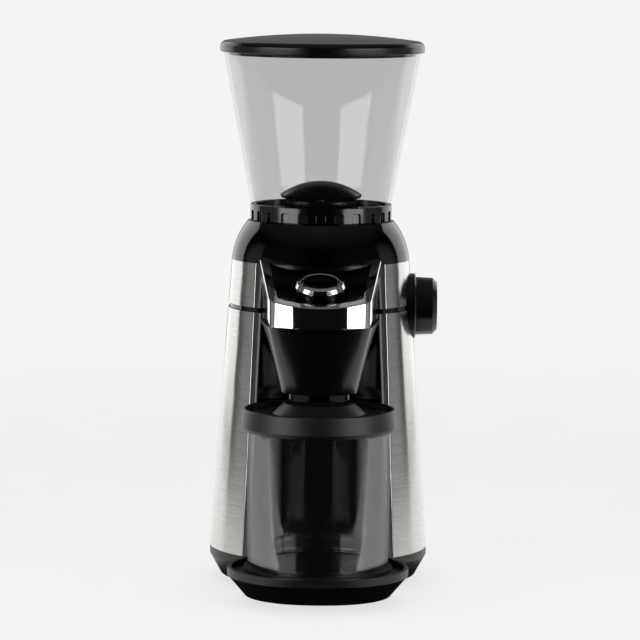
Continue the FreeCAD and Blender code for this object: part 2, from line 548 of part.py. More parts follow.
def cut_mouth(body):
    low, high = f"(base_top_z - {OVER})", f"(shoulder_z + {OVER})"
    pocket(body, outline(new_sketch(body, "XZ_Plane"), [
        (f"-({mouth_half(low)})", low), (mouth_half(low), low),
        (mouth_half(high), high), (f"-({mouth_half(high)})", high),
    ]), reverse=True)


def cut_inlet(body):
    pocket(body, circles(new_sketch(body, "XZ_Plane"), [("0", "inlet_z", "inlet_r + skin_gap")]))


def make_steel(name, low, high):
    body = new_body(name)
    turned(body, wall_profile(low, high, shell_r, lambda z: shell_r(z, "steel_gauge")))
    cut_mouth(body)
    cut_knob_hole(body)
    return body


def bay_segment(body, z, radius, back_f):
    # The front part of the bay's circle, cut off flat at the back
    half = f"sqrt(({radius})^2 - (cup_f - ({back_f}))^2)"
    return outline(new_sketch(body, at=z), [
        (f"-{half}", f"-({back_f})", radius),
        ("0", f"-cup_f - ({radius})", radius),
        (half, f"-({back_f})"),
    ])


def make_body_housing():
    body = new_body("body_housing")
    low, high = "(base_top_z + seat_gap)", "seam_low_z"
    thick = "bay_r + shell_wall"
    ceiling = "(bay_top_z + shell_wall)"
    pad(body, circles(new_sketch(body, at=low), [("0", "-cup_f", thick)]), f"{ceiling} - {low}")
    pad(body, bay_segment(body, ceiling, thick, "shelf_f - shell_wall"), f"seam_low_z - {ceiling}")
    # The bay's block is trimmed to the cone before the wall joins it
    top = f"(seam_low_z + {OVER})"
    turned(body, [(housing_r("0"), "0"), (FAR, "0"), (FAR, top), (housing_r(top), top)], "Groove")
    turned(body, wall_profile(low, high, housing_r, housing_in_r))
    pocket(body, circles(new_sketch(body, at="bay_top_z"), [("0", "-cup_f", "bay_r")]), "bay_top_z")
    pocket(body, bay_segment(body, high, "bay_r", "shelf_f"), f"{high} - bay_top_z + {OVER}")
    window = box_points("-spout_half - seat_gap", "spout_low_z - seat_gap - spout_wall",
                        "spout_half + seat_gap", "spout_high_z + seat_gap")
    pocket(body, outline(new_sketch(body, "XZ_Plane"), window), reverse=True)
    cut_knob_hole(body)
    cut_inlet(body)


def make_seam_ring():
    body = new_body("seam_ring")
    low, high = "(seam_low_z + skin_gap)", "(seam_high_z - skin_gap)"
    turned(body, wall_profile(low, high, lambda z: shell_r(z, "seam_depth"), housing_in_r))
    half = "(nose_back_half + seam_end_gap)"
    front = box_points(f"-{half}", f"seam_low_z - {OVER}", half, f"seam_high_z + {OVER}")
    pocket(body, outline(new_sketch(body, "XZ_Plane"), front), reverse=True)
    cut_knob_hole(body)


def make_head_housing():
    body = new_body("head_housing")
    turned(body, wall_profile("seam_high_z", "(shoulder_z - seat_gap)", housing_r, housing_in_r))
    cut_knob_hole(body)


def make_head_cover():
    body = new_body("head_cover")
    turned(body, [
        ("shoulder_r", "shoulder_z", "dome_bend_r"), ("dome_top_r", "dome_top_z"), ("neck_r", "dome_top_z"),
        ("neck_r", "dome_top_z - dome_wall"),
        ("dome_top_r - dome_land", "dome_top_z - dome_wall", "-(dome_bend_r - dome_wall)"),
        ("shoulder_r - dome_wall", "shoulder_z"),
    ])


def make_cord_inlet():
    body = new_body("cord_inlet", lift="inlet_z", turn=(Vector(1, 0, 0), "-90"))
    face = f"({shell_r('inlet_z')})"
    inside = f"({housing_in_r('inlet_z')} - inlet_tail)"
    turned(body, [
        ("inlet_bore_r", inside), ("inlet_r", inside), ("inlet_r", f"{face} - seat_gap"),
        ("inlet_bore_r", f"{face} - seat_gap"),
    ])


# Head: setting ring, hopper and lid

def make_adjusting_ring():
    body = new_body("adjusting_ring")
    turned(body, [
        ("ring_r", "ring_low_z"), ("ring_r", "ring_high_z"), ("ring_bore_r", "ring_high_z"),
        ("ring_bore_r", "ring_web_z"), ("sleeve_in_r", "ring_web_z"), ("sleeve_in_r", "sleeve_low_z"),
        ("sleeve_r", "sleeve_low_z"), ("sleeve_r", "ring_low_z"),
    ])
    half, top = "notch_wide / 2", "(ring_low_z + notch_high)"
    notch = outline(new_sketch(body, "XZ_Plane", at="ring_r - notch_deep"), [
        (f"-{half}", f"ring_low_z - {OVER}"), (half, f"ring_low_z - {OVER}"),
        (half, f"{top} - notch_round", "notch_round"), (f"{half} - notch_round", top),
        (f"-{half} + notch_round", top, "notch_round"), (f"-{half}", f"{top} - notch_round"),
    ])
    polar(body, pocket(body, notch, f"notch_deep + {OVER}", reverse=True), "notch_count")


def hopper_r(z):
    return between(z, ("hopper_low_r", "hopper_low_z"), ("hopper_high_r", "hopper_high_z"))


def make_hopper():
    body = new_body("hopper")
    step = "(hopper_low_z + hopper_wall)"
    turned(body, [
        ("spigot_r", "spigot_low_z"), ("spigot_r", "hopper_low_z"), ("hopper_low_r", "hopper_low_z"),
        ("hopper_high_r", "hopper_high_z"), ("hopper_high_r - hopper_wall", "hopper_high_z"),
        (f"{hopper_r(step)} - hopper_wall", step), ("spigot_r - hopper_wall", "hopper_low_z"),
        ("spigot_r - hopper_wall", "spigot_low_z"),
    ])


def make_hopper_floor():
    body = new_body("hopper_floor")
    deck = "floor_deck_z"
    turned(body, [
        ("throat_r", "floor_low_z"), ("spigot_r - hopper_wall - floor_gap", "floor_low_z"),
        ("spigot_r - hopper_wall - floor_gap", deck), ("collar_r", deck), ("collar_r", "collar_high_z"),
        ("collar_r - collar_wall", "collar_high_z"), ("collar_r - collar_wall", deck), ("throat_r", deck),
    ])
    # Bean windows at the back and the two sides, so the front of the collar stays whole
    reach = "(2 * collar_r)"
    for turn in (0, 90, 180):
        left, right = f"({turn} - collar_window_deg / 2) * 1deg", f"({turn} + collar_window_deg / 2) * 1deg"
        wedge = outline(new_sketch(body, at=f"collar_high_z + {OVER}"), [
            ("0", "0"), (f"{reach} * cos({left})", f"{reach} * sin({left})"),
            (f"{reach} * cos({right})", f"{reach} * sin({right})"),
        ])
        pocket(body, wedge, f"collar_tall + {OVER}")
    slots = new_sketch(body, at=deck)
    for side in ("-1", "1"):
        across = f"({side} * floor_slot_x)"
        low, high = f"{across} - floor_slot_wide / 2", f"{across} + floor_slot_wide / 2"
        end = "(floor_slot_long - floor_slot_wide) / 2"
        outline(slots, [
            (high, f"-{end}"), (high, end, "floor_slot_round"), (low, end),
            (low, f"-{end}", "floor_slot_round"),
        ])
    pocket(body, slots)


def make_bean_guard():
    body = new_body("bean_guard")
    inner = "(guard_r - guard_wall)"
    lip = "(guard_r - guard_lip_in)"
    turned(body, [
        ("0", "guard_top_z", f"-{dome_bow('guard_r', 'guard_dome')}"), ("guard_r", "guard_edge_z"),
        (lip, "guard_rim_z"), (f"{lip} - guard_wall", "guard_rim_z"),
        (inner, "guard_edge_z", dome_bow(inner, "guard_dome - guard_wall")),
        ("0", "guard_top_z - guard_wall"),
    ])
    angles = (45, 135, 270)
    legs = [(f"guard_leg_at * cos({angle}deg)", f"guard_leg_at * sin({angle}deg)", "guard_leg_r")
            for angle in angles]
    low = "(floor_deck_z + skin_gap)"
    pad(body, circles(new_sketch(body, at=low), legs), f"guard_edge_z + {OVER} - {low}")


def make_hopper_lid():
    body = new_body("hopper_lid")
    seat = "(hopper_high_z + seat_gap)"
    plug = f"({hopper_r('lid_plug_low_z')} - hopper_wall - lid_plug_gap)"
    plug_in = f"({plug} - lid_plug_wall)"
    bow = dome_bow("lid_edge_r", "lid_crown")
    ceiling = "(total_high - lid_wall)"
    turned(body, [
        ("0", "total_high", f"-{bow}"), ("lid_edge_r", "lid_edge_z", "-lid_edge_round"),
        ("lid_r", "lid_rim_high_z"), ("lid_r", "lid_rim_low_z"), ("lid_r - lid_lip", "lid_rim_low_z"),
        ("lid_r - lid_lip", seat), (plug, seat), (plug, "lid_plug_low_z"), (plug_in, "lid_plug_low_z"),
        (plug_in, f"{ceiling} - lid_crown", dome_bow(plug_in, "lid_crown")), ("0", ceiling),
    ])


# Nose: panel, bezel, chute

def nose_sketch(body, z, inset, tail_f, sketch=None):
    # Bowed front, rounded corners and sides that widen towards the body. The corner arcs are tangent
    # to the bow and to the sides, so they are placed here and held by tangent constraints.
    sketch = sketch or new_sketch(body, at=z)
    slope = "((nose_back_half - nose_front_half) / (nose_front_at_f - nose_back_at_f))"
    tail_half = f"(nose_back_half - ({inset}) + (nose_back_at_f - ({tail_f})) * {slope})"
    bow, corner = size(f"nose_bow_r - ({inset})"), size(f"nose_corner_r - ({inset})")
    middle = Vector(0, size("nose_bow_r - nose_front_f"), 0)
    tail = Vector(size(tail_half), -size(tail_f), 0)
    along = Vector(-size(slope), -1, 0).normalize()
    inward = Vector(along.y, -along.x, 0)
    start = tail + inward * corner - middle
    half_b = start.dot(along)
    step = -half_b + math.sqrt(half_b ** 2 - start.dot(start) + (bow - corner) ** 2)
    pivot = tail + inward * corner + along * step
    side_end = pivot - inward * corner
    bow_end = middle + (pivot - middle).normalize() * bow
    mirror = [Vector(-p.x, p.y, 0) for p in (bow_end, side_end, tail)]
    first = sketch.GeometryCount
    sketch.addGeometry([
        arc_between(mirror[0], bow_end, bow), arc_between(bow_end, side_end, corner),
        Part.LineSegment(side_end, tail), Part.LineSegment(tail, mirror[2]),
        Part.LineSegment(mirror[2], mirror[1]), arc_between(mirror[1], mirror[0], corner),
    ], False)
    for i in (0, 1, 4, 5):
        constrain(sketch, "Tangent", first + i, 2, first + (i + 1) % 6, 1)
    for i in (2, 3):
        constrain(sketch, "Coincident", first + i, 2, first + i + 1, 1)
    constrain(sketch, "DistanceX", -1, 1, first, 3, value="0")
    constrain(sketch, "DistanceY", -1, 1, first, 3, value="nose_bow_r - nose_front_f")
    constrain(sketch, "Radius", first, value=f"nose_bow_r - ({inset})")
    for i in (1, 5):
        constrain(sketch, "Radius", first + i, value=f"nose_corner_r - ({inset})")
    for i, sign in ((2, ""), (3, "-")):
        constrain(sketch, "DistanceX", -1, 1, first + i, 2, value=f"{sign}{tail_half}")
        constrain(sketch, "DistanceY", -1, 1, first + i, 2, value=f"-({tail_f})")
    lean = f"atan({slope})"
    constrain(sketch, "Angle", first + 2, value=f"90deg - {lean}")
    constrain(sketch, "Angle", first + 4, value=f"-90deg + {lean}")
    return sketch


def cut_above_shelf(body, drop):
    # Takes off all that stands above the sloping top, lowered by drop
    front, back = f"(nose_front_f + {REACH})", f"(nose_tail_f - {REACH})"
    pocket(body, outline(new_sketch(body, "YZ_Plane"), [
        (f"-{front}", f"{shelf_z(front)} - ({drop})"), (f"-{back}", f"{shelf_z(back)} - ({drop})"),
        (f"-{back}", FAR), (f"-{front}", FAR),
    ]), symmetric=True)


def cut_body_cone(body):
    # Clears the nose off the tapered head behind it, and off the wider dome above that
    low, high, step = f"(nose_low_z - {REACH})", f"(dome_top_z + {REACH})", "(shoulder_z - shell_clear)"
    head = "steel_gauge + skin_gap - shell_clear"
    turned(body, [
        ("0", low), (shell_r(low, head), low), (shell_r(step, head), step),
        (shell_r(step, "-shell_clear"), step), (shell_r(high, "-shell_clear"), high), ("0", high),
    ], "Groove")
    turned(body, [
        ("0", "shoulder_z"), ("shoulder_r + shell_clear", "shoulder_z", "dome_bend_r"),
        ("dome_top_r + shell_clear", "dome_top_z"), ("0", "dome_top_z"),
    ], "Groove")


def make_control_panel():
    body = new_body("control_panel")
    edge = "(bezel_wall + bezel_gap)"
    pad(body, nose_sketch(body, "nose_low_z + bezel_gap", edge, "nose_tail_f"),
        f"{shelf_z('nose_tail_f')} - nose_low_z")
    cut_above_shelf(body, "panel_sunk")
    front, back = "panel_cavity_front_f", "panel_cavity_back_f"
    roof = "(panel_sunk + panel_wall)"
    cavity = outline(new_sketch(body, "YZ_Plane"), [
        (f"-{front}", f"nose_low_z - {OVER}"), (f"-{back}", f"nose_low_z - {OVER}"),
        (f"-{back}", f"{shelf_z(back)} - {roof}"), (f"-{front}", f"{shelf_z(front)} - {roof}"),
    ])
    pocket(body, cavity, "2 * panel_cavity_half", symmetric=True)
    hole = circles(new_sketch(body), [("0", "0", "button_collar_in_r")])
    hole.AttachmentOffset = Placement(Vector(), Rotation(Vector(1, 0, 0), 1))
    hole.setExpression("AttachmentOffset.Rotation.Angle", bound("panel_tilt"))
    hole.setExpression("AttachmentOffset.Base.y", bound("-button_f"))
    hole.setExpression("AttachmentOffset.Base.z", bound(f"{shelf_z('button_f')} - panel_sunk"))
    pocket(body, hole, f"2 * {REACH}", symmetric=True)
    cut_body_cone(body)


def make_chrome_bezel():
    body = new_body("chrome_bezel")
    high = f"({shelf_z('nose_tail_f')} + {OVER} - nose_low_z)"
    inner_tail = "nose_tail_f + tail_bridge"
    lip = nose_sketch(body, "nose_low_z", "bezel_wall / 2", "nose_tail_f")
    nose_sketch(body, None, "bezel_lip", inner_tail, lip)
    pad(body, lip, f"{high} + {OVER}")
    front, back = f"(nose_front_f + {REACH})", f"(nose_tail_f - {REACH})"
    pocket(body, outline(new_sketch(body, "YZ_Plane"), [
        (f"-{front}", "0"), (f"-{back}", "0"),
        (f"-{back}", f"{shelf_z(back)} - bezel_thick"), (f"-{front}", f"{shelf_z(front)} - bezel_thick"),
    ]), symmetric=True)
    wall = nose_sketch(body, "nose_low_z", "0", "nose_tail_f")
    nose_sketch(body, None, "bezel_wall", inner_tail, wall)
    pad(body, wall, high)
    cut_above_shelf(body, "0")
    # The side walls thin to two horns that run up to the head
    start, full, tail = "horn_start_f", "horn_full_f", f"(nose_tail_f - {REACH})"
    pocket(body, outline(new_sketch(body, "YZ_Plane"), [
        (f"-{start}", f"nose_low_z - {OVER}"), (f"-{tail}", f"nose_low_z - {OVER}"),
        (f"-{tail}", f"{shelf_z(tail)} - horn_high"), (f"-{full}", f"{shelf_z(full)} - horn_high"),
        (f"-{start}", "nose_low_z"),
    ]), symmetric=True)
    cut_body_cone(body)


def chute_ring(body, z, radius):
    # Six arcs of one circle, paired with the nose outline's six edges
    angles = (-132, -48, -15, 40, 140, 195)
    return outline(new_sketch(body, at=z), [
        (f"({radius}) * cos({angle}deg)", f"({radius}) * sin({angle}deg) - cup_f", radius)
        for angle in angles])


def make_chute_funnel():
    body = new_body("chute_funnel")
    loft = feature(body, "AdditiveLoft", nose_sketch(body, "nose_low_z", "0", "nose_tail_f"))
    loft.Sections = [(chute_ring(body, "chute_low_z", "chute_low_r"), [""])]
    loft.Ruled = True
    floor = "chute_low_z + chute_floor"
    hollow = feature(body, "SubtractiveLoft",
                     nose_sketch(body, "nose_low_z - chute_wall", "chute_wall", "chute_back_f"))
    hollow.Sections = [(chute_ring(body, floor, "chute_low_r - chute_wall"), [""])]
    hollow.Ruled = True
    spot = ("0", "-cup_f")
    drop = circles(new_sketch(body, at=f"{floor} + {OVER}"), [(*spot, "nozzle_r + skin_gap")])
    pocket(body, drop, f"chute_floor + 2 * {OVER}")
    # Rear corners trimmed to the round bay
    trim = circles(new_sketch(body, at=f"nose_low_z + {OVER}"),
                   [(*spot, "bay_r - shell_clear"), (*spot, FAR)])
    pocket(body, trim)
    # Way in from the grinding chamber's spout
    half = "(spout_half + chute_spout_gap)"
    window = box_points(f"-{half}", "spout_low_z - spout_wall - chute_spout_gap",
                        half, "spout_high_z + chute_spout_gap")
    back = outline(new_sketch(body, "XZ_Plane", at=f"nose_tail_f - {OVER}"), window)
    pocket(body, back, f"chute_back_f - nose_tail_f + {REACH} / 2", reverse=True)


def make_spout_nozzle():
    body = new_body("spout_nozzle", forward="cup_f")
    bore = "(nozzle_r - nozzle_wall)"
    shoulder = "(chute_low_z + chute_floor + seat_gap)"
    turned(body, [
        (bore, "nozzle_low_z"), ("nozzle_r", "nozzle_low_z"), ("nozzle_r", shoulder),
        ("nozzle_flange_r", shoulder), ("nozzle_flange_r", f"{shoulder} + nozzle_flange"),
        (bore, f"{shoulder} + nozzle_flange"),
    ])


# Start button

def button_place():
    return dict(forward="button_f", lift=f"{shelf_z('button_f')} - panel_sunk",
                turn=(Vector(1, 0, 0), "panel_tilt"))


def make_button_collar():
    body = new_body("button_collar", **button_place())
    turned(body, [
        ("button_collar_in_r", "skin_gap"), ("button_collar_r", "skin_gap"),
        ("button_collar_r", "button_collar_high"), ("button_collar_in_r", "button_collar_high"),
    ])


def make_button_ring():
    body = new_body("button_ring", **button_place())
    inner = "(cap_r + skin_gap)"
    turned(body, [
        (inner, "button_sleeve_low"), ("button_sleeve_r", "button_sleeve_low"),
        ("button_sleeve_r", "button_low"), ("button_r", "button_low"), ("button_r", "button_edge"),
        (inner, "button_high"),
    ])


def make_button_cap():
    body = new_body("button_cap", **button_place())
    rim = "(button_high - skin_gap)"
    bow = "((cap_r^2 + cap_dish^2) / (2 * cap_dish))"
    turned(body, [
        ("0", f"{rim} - cap_dish", bow), ("cap_r", rim), ("cap_r", f"{rim} - cap_dish - cap_thick"),
        ("stem_r", f"{rim} - cap_dish - cap_thick"), ("stem_r", "stem_low"), ("0", "stem_low"),
    ])


def make_button_spring():
    # Plain sleeve with the hidden coil's outside, inside and length
    body = new_body("button_spring", **button_place())
    top = "(button_high - skin_gap - cap_dish - cap_thick - skin_gap)"
    low = "(bracket_high + skin_gap)"
    turned(body, [("spring_in_r", low), ("spring_r", low), ("spring_r", top), ("spring_in_r", top)])


def make_switch_bracket():
    body = new_body("switch_bracket", **button_place())
    plate = box_points("-bracket_half_x", "-bracket_half_y", "bracket_half_x", "bracket_half_y")
    pad(body, outline(new_sketch(body, at="bracket_low"), plate), "bracket_high - bracket_low")
    posts = [(f"{side} * bracket_post_x", "0", "bracket_post_r") for side in (-1, 1)]
    pad(body, circles(new_sketch(body, at="bracket_low"), posts), "-bracket_low - panel_wall - skin_gap")
    cheeks = new_sketch(body, at="switch_low")
    near, far = "(switch_half_x + skin_gap)", "(switch_half_x + skin_gap + cheek_thick)"
    outline(cheeks, box_points(near, "-switch_half_y", far, "switch_half_y"))
    outline(cheeks, box_points(f"-{far}", "-switch_half_y", f"-{near}", "switch_half_y"))
    pad(body, cheeks, "bracket_high - switch_low")
    pocket(body, circles(new_sketch(body, at="bracket_high"), [("0", "0", "stem_r + bracket_hole_gap")]),
           f"bracket_high - bracket_low + {OVER}")


def make_start_switch():
    body = new_body("start_switch", **button_place())
    pad(body, outline(new_sketch(body, at="switch_low"), box_points(
        "-switch_half_x", "-switch_half_y", "switch_half_x", "switch_half_y")), "switch_high - switch_low")
    pad(body, circles(new_sketch(body, at="switch_high"), [("0", "0", "switch_pin_r")]),
        "switch_pin_high - switch_high")


# Timer knob

def knob_place():
    return dict(lift="knob_z", turn=(Vector(0, 1, 0), "90"))


def make_knob_escutcheon():
    body = new_body("knob_escutcheon", **knob_place())
    well = "(knob_hub_r + knob_hub_gap)"
    turned(body, [
        ("pot_bush_r + skin_gap", "knob_flange_low_x"), ("knob_flange_r", "knob_flange_low_x"),
        ("knob_flange_r", "knob_seat_x"), ("knob_plate_r", "knob_seat_x"),
        ("knob_plate_r", "knob_plate_high_x - knob_plate_edge"),
        ("knob_plate_r - knob_plate_edge", "knob_plate_high_x"), (well, "knob_plate_high_x"),
        (well, "knob_flange_low_x + knob_plate_wall"),
        ("pot_bush_r + skin_gap", "knob_flange_low_x + knob_plate_wall"),
    ])


def make_timer_knob():
    body = new_body("timer_knob", **knob_place())
    bore = "(pot_shaft_r + skin_gap)"
    floor = "(knob_bevel_x - knob_wall)"
    recess = "(knob_end_x - knob_disc_deep)"
    turned(body, [
        (bore, "knob_low_x"), ("knob_hub_r", "knob_low_x"), ("knob_hub_r", floor),
        ("knob_r - knob_wall", floor), ("knob_r - knob_wall", "knob_low_x"), ("knob_r", "knob_low_x"),
        ("knob_tip_r", "knob_bevel_x"), ("knob_face_r", "knob_end_x"),
        ("knob_disc_r + skin_gap", "knob_end_x"), ("knob_disc_r + skin_gap", recess), ("0", recess),
        ("0", "pot_shaft_high_x + seat_gap"), (bore, "pot_shaft_high_x + seat_gap"),
    ])
    mark = outline(new_sketch(body, at=f"knob_end_x + {OVER}"), box_points(
        f"-knob_r - {OVER}", "-knob_mark_wide / 2", "-knob_tip_r + knob_mark_deep", "knob_mark_wide / 2"))
    pocket(body, mark, f"knob_long + 2 * {OVER}")


def make_knob_disc():
    body = new_body("knob_disc", **knob_place())
    low = "(knob_end_x - knob_disc_deep + skin_gap)"
    turned(body, [("0", low), ("knob_disc_r", low), ("knob_disc_r", "knob_end_x"), ("0", "knob_end_x")])


def make_timer_pot():
    body = new_body("timer_pot", **knob_place())
    hole = "(pot_shaft_r + run_fit)"
    turned(body, [
        ("0", "pot_low_x"), ("pot_r", "pot_low_x"), ("pot_r", "pot_high_x"), ("pot_bush_r", "pot_high_x"),
        ("pot_bush_r", "pot_bush_high_x"), (hole, "pot_bush_high_x"), (hole, "pot_shaft_low_x - end_play"),
        ("0", "pot_shaft_low_x - end_play"),
    ])


def make_pot_shaft():
    body = new_body("pot_shaft", **knob_place())
    turned(body, [
        ("0", "pot_shaft_low_x"), ("pot_shaft_r", "pot_shaft_low_x"),
        ("pot_shaft_r", "pot_shaft_high_x"), ("0", "pot_shaft_high_x"),
    ])


# Grounds cup

def cup_r(z):
    return between(z, ("cup_low_r", "cup_low_z"), ("cup_high_r", "cup_high_z"))


def make_cup():
    body = new_body("grounds_cup", forward="cup_f")
    floor = "(cup_low_z + cup_floor)"
    bend = "cup_foot_round"
    turned(body, [
        ("0", "cup_low_z"), (f"cup_low_r - {bend}", "cup_low_z", bend),
        (cup_r(f"(cup_low_z + {bend})"), f"cup_low_z + {bend}"),
        ("cup_high_r", "cup_high_z"), ("cup_high_r - cup_wall", "cup_high_z"),
        (f"{cup_r(floor)} - cup_wall", floor), ("0", floor),
    ])


def make_cup_lid():
    body = new_body("cup_lid", forward="cup_f")
    inside = "(cup_high_r + cup_lid_gap)"
    ledge = f"({inside} - cup_lid_ledge)"
    seat = "(cup_high_z + seat_gap)"
    rim_in = "(cup_lid_top_r - cup_lid_edge)"
    under = "(cup_lid_dish_z - cup_lid_wall)"
    turned(body, [
        ("mouth_r - cup_lid_wall", "mouth_high_z"), ("mouth_cone_r - cup_lid_wall", under), (ledge, under),
        (ledge, seat), (inside, seat), (inside, "cup_lid_low_z"),
        ("cup_lid_r - cup_lid_chamfer / 2", "cup_lid_low_z"),
        ("cup_lid_r", "cup_lid_low_z + cup_lid_chamfer"), ("cup_lid_top_r", "cup_lid_high_z"),
        (rim_in, "cup_lid_high_z"), (f"{rim_in} - cup_lid_slope", "cup_lid_dish_z"),
        ("mouth_cone_r", "cup_lid_dish_z"), ("mouth_r", "mouth_high_z"),
    ])


# Motor

def make_motor_can():
    body = new_body("motor_can")
    inner = "(motor_r - motor_wall)"
    bearing = "(motor_bearing_r + skin_gap)"
    hole = "(shaft_r + shaft_clear)"
    seat = "(motor_high_z - motor_bearing_high)"
    turned(body, [
        ("motor_r", "motor_low_z"), ("motor_r", "motor_high_z"), (bearing, "motor_high_z"), (bearing, seat),
        (hole, seat), (hole, f"{seat} - motor_top"), (inner, f"{seat} - motor_top"), (inner, "motor_low_z"),
    ])


def make_motor_end_bell():
    body = new_body("motor_end_bell")
    bearing = "(motor_bearing_r + skin_gap)"
    boss = "(motor_bearing_r + bell_boss_wall)"
    hole = "(shaft_r + shaft_clear)"
    seat = "(bell_low_z + motor_bearing_high + seat_gap)"
    rim = "(motor_low_z - skin_gap)"
    turned(body, [
        (bearing, "bell_low_z"), (boss, "bell_low_z"), (boss, "motor_low_z - bell_thick"),
        ("motor_r", "motor_low_z - bell_thick"), ("motor_r", rim), (hole, rim), (hole, seat), (bearing, seat),
    ])


def make_motor_bearings():
    body = new_body("motor_bearings")
    bore = "(shaft_r + run_fit)"
    for low, high in (("bell_low_z + skin_gap", "bell_low_z + motor_bearing_high"),
                      ("motor_high_z - motor_bearing_high + skin_gap", "motor_high_z - skin_gap")):
        turned(body, [(bore, low), ("motor_bearing_r", low), ("motor_bearing_r", high), (bore, high)])


def make_motor_magnets():
    body = new_body("motor_magnets")
    sketch = new_sketch(body, at="magnet_low_z")
    for turn in (0, 180):
        low, high = f"({turn}deg - magnet_half_deg * 1deg)", f"({turn}deg + magnet_half_deg * 1deg)"
        outline(sketch, [
            (f"magnet_r * cos({low})", f"magnet_r * sin({low})", "magnet_r"),
            (f"magnet_r * cos({high})", f"magnet_r * sin({high})"),
            (f"magnet_in_r * cos({high})", f"magnet_in_r * sin({high})", "-magnet_in_r"),
            (f"magnet_in_r * cos({low})", f"magnet_in_r * sin({low})"),
        ])
    pad(body, sketch, "magnet_high_z - magnet_low_z")


def make_motor_brushes():
    body = new_body("motor_brushes")
    sketch = new_sketch(body, at="(commutator_low_z + commutator_high_z) / 2 - brush_half")
    near = "(commutator_r + brush_gap)"
    outline(sketch, box_points("-brush_half", near, "brush_half", "brush_end_r"))
    outline(sketch, box_points("-brush_half", "-brush_end_r", "brush_half", f"-{near}"))
    pad(body, sketch, "2 * brush_half")
    # Holders that carry the brushes up from the end bell
    holders = new_sketch(body, at="motor_low_z")
    outline(holders, box_points("-brush_half", "brush_end_r - brush_holder", "brush_half", "brush_end_r"))
    outline(holders, box_points("-brush_half", "-brush_end_r", "brush_half", "brush_holder - brush_end_r"))
    pad(body, holders, "(commutator_low_z + commutator_high_z) / 2 - motor_low_z")


def make_rotor_core():
    body = new_body("rotor_core")
    bore = "(shaft_r + press_gap)"
    turned(body, [
        (bore, "core_low_z"), ("core_r", "core_low_z"), ("core_r", "core_high_z"), (bore, "core_high_z"),
    ])
    slot = outline(new_sketch(body, at="core_high_z"), box_points(
        "core_slot_r", "-core_slot_wide / 2", f"core_r + {OVER}", "core_slot_wide / 2"))
    polar(body, pocket(body, slot), "core_slots")


def make_motor_shaft():
    body = new_body("motor_shaft")
    section = circles(new_sketch(body, at="shaft_low_z"), [("0", "0", "shaft_r")])
    pad(body, section, "shaft_high_z - shaft_low_z")


def make_commutator():
    body = new_body("commutator")
    bore = "(shaft_r + press_gap)"
    turned(body, [
        (bore, "commutator_low_z"), ("commutator_r", "commutator_low_z"),
        ("commutator_r", "commutator_high_z"), (bore, "commutator_high_z"),
    ])


# Frame and planetary gear

def make_frame_posts():
    body = new_body("frame_posts")
    angles = (15, 90, 165)
    spots = [(f"post_at_r * cos({angle}deg)", f"post_at_r * sin({angle}deg)", "post_r") for angle in angles]
    feet = circles(new_sketch(body, at="base_top_z + skin_gap"), spots)
    pad(body, feet, "plate_low_z - base_top_z - 2 * skin_gap")


def make_gear_plate():
    body = new_body("gear_plate")
    turned(body, [
        ("plate_hole_r", "plate_low_z"), ("plate_r", "plate_low_z"), ("plate_r", "plate_high_z"),
        ("plate_hole_r", "plate_high_z"),
    ])


def involute_angle(base, radius):
    steep = math.acos(min(base / radius, 1))
    return math.tan(steep) - steep


def gear_wire(teeth, tip, root, widen, phase):
    # Involute teeth: each flank is an arc through three points of the involute, on a straight foot
    pitch = teeth * size("gear_module") / 2
    pressure = math.radians(size("pressure_angle"))
    base = pitch * math.cos(pressure)
    half_at_pitch = math.pi / (2 * teeth) + widen / (2 * pitch)
    foot = max(base, root)

    def half_tooth(radius):
        return half_at_pitch + math.tan(pressure) - pressure - involute_angle(base, max(radius, base))

    def spot(radius, angle):
        return Vector(radius * math.cos(angle), radius * math.sin(angle), 0)

    edges = []
    for number in range(teeth):
        middle = phase + number * 2 * math.pi / teeth
        following = middle + 2 * math.pi / teeth
        rising = [spot(r, middle - half_tooth(r)) for r in (foot, (foot + tip) / 2, tip)]
        falling = [spot(r, middle + half_tooth(r)) for r in (tip, (foot + tip) / 2, foot)]
        root_left = spot(root, middle + half_tooth(foot))
        root_right = spot(root, following - half_tooth(foot))
        if foot > root:
            edges.append(Part.LineSegment(spot(root, middle - half_tooth(foot)), rising[0]))
        edges.append(Part.Arc(*rising))
        edges.append(Part.Arc(rising[2], spot(tip, middle), falling[0]))
        edges.append(Part.Arc(*falling))
        if foot > root:
            edges.append(Part.LineSegment(falling[2], root_left))
        edges.append(Part.Arc(root_left, spot(root, middle + math.pi / teeth), root_right))
    return Part.Wire([edge.toShape() for edge in edges])


def gear_solid(wire, low, high):
    return Part.Face(wire).extrude(Vector(0, 0, high - low)).translated(Vector(0, 0, low))


def column(radius, low, high):
    return Part.makeCylinder(radius, high - low, Vector(0, 0, low))


def new_gear(name, shape, **place):
    item = doc.addObject("Part::Feature", name)
    item.Shape = shape
    return placed(item, name, **place)


# Tooth depths in modules: outside the pitch circle, inside it, and the ring gear's shortened teeth
TIP, ROOT, RING_TIP = 1, 1.25, 0.95


def spur_gear(teeth, bore, phase):
    module, low, high = size("gear_module"), size("gear_low_z"), size("gear_high_z")
    pitch = teeth * module / 2
    wire = gear_wire(teeth, pitch + TIP * module, pitch - ROOT * module, -size("backlash") / 2, phase)
    return gear_solid(wire, low, high).cut(column(bore, low, high))


def make_sun_gear():
    new_gear("sun_gear", spur_gear(int(size("sun_teeth")), size("shaft_r + press_gap"), 0))


def make_planet_gear(number):
    teeth = int(size("planet_teeth"))
    turn = number * 120
    shape = spur_gear(teeth, size("pin_r + run_fit"), math.pi / teeth)
    new_gear(f"planet_gear_{number + 1}", shape, right=f"planet_at_r * cos({turn}deg)",
             forward=f"-planet_at_r * sin({turn}deg)")


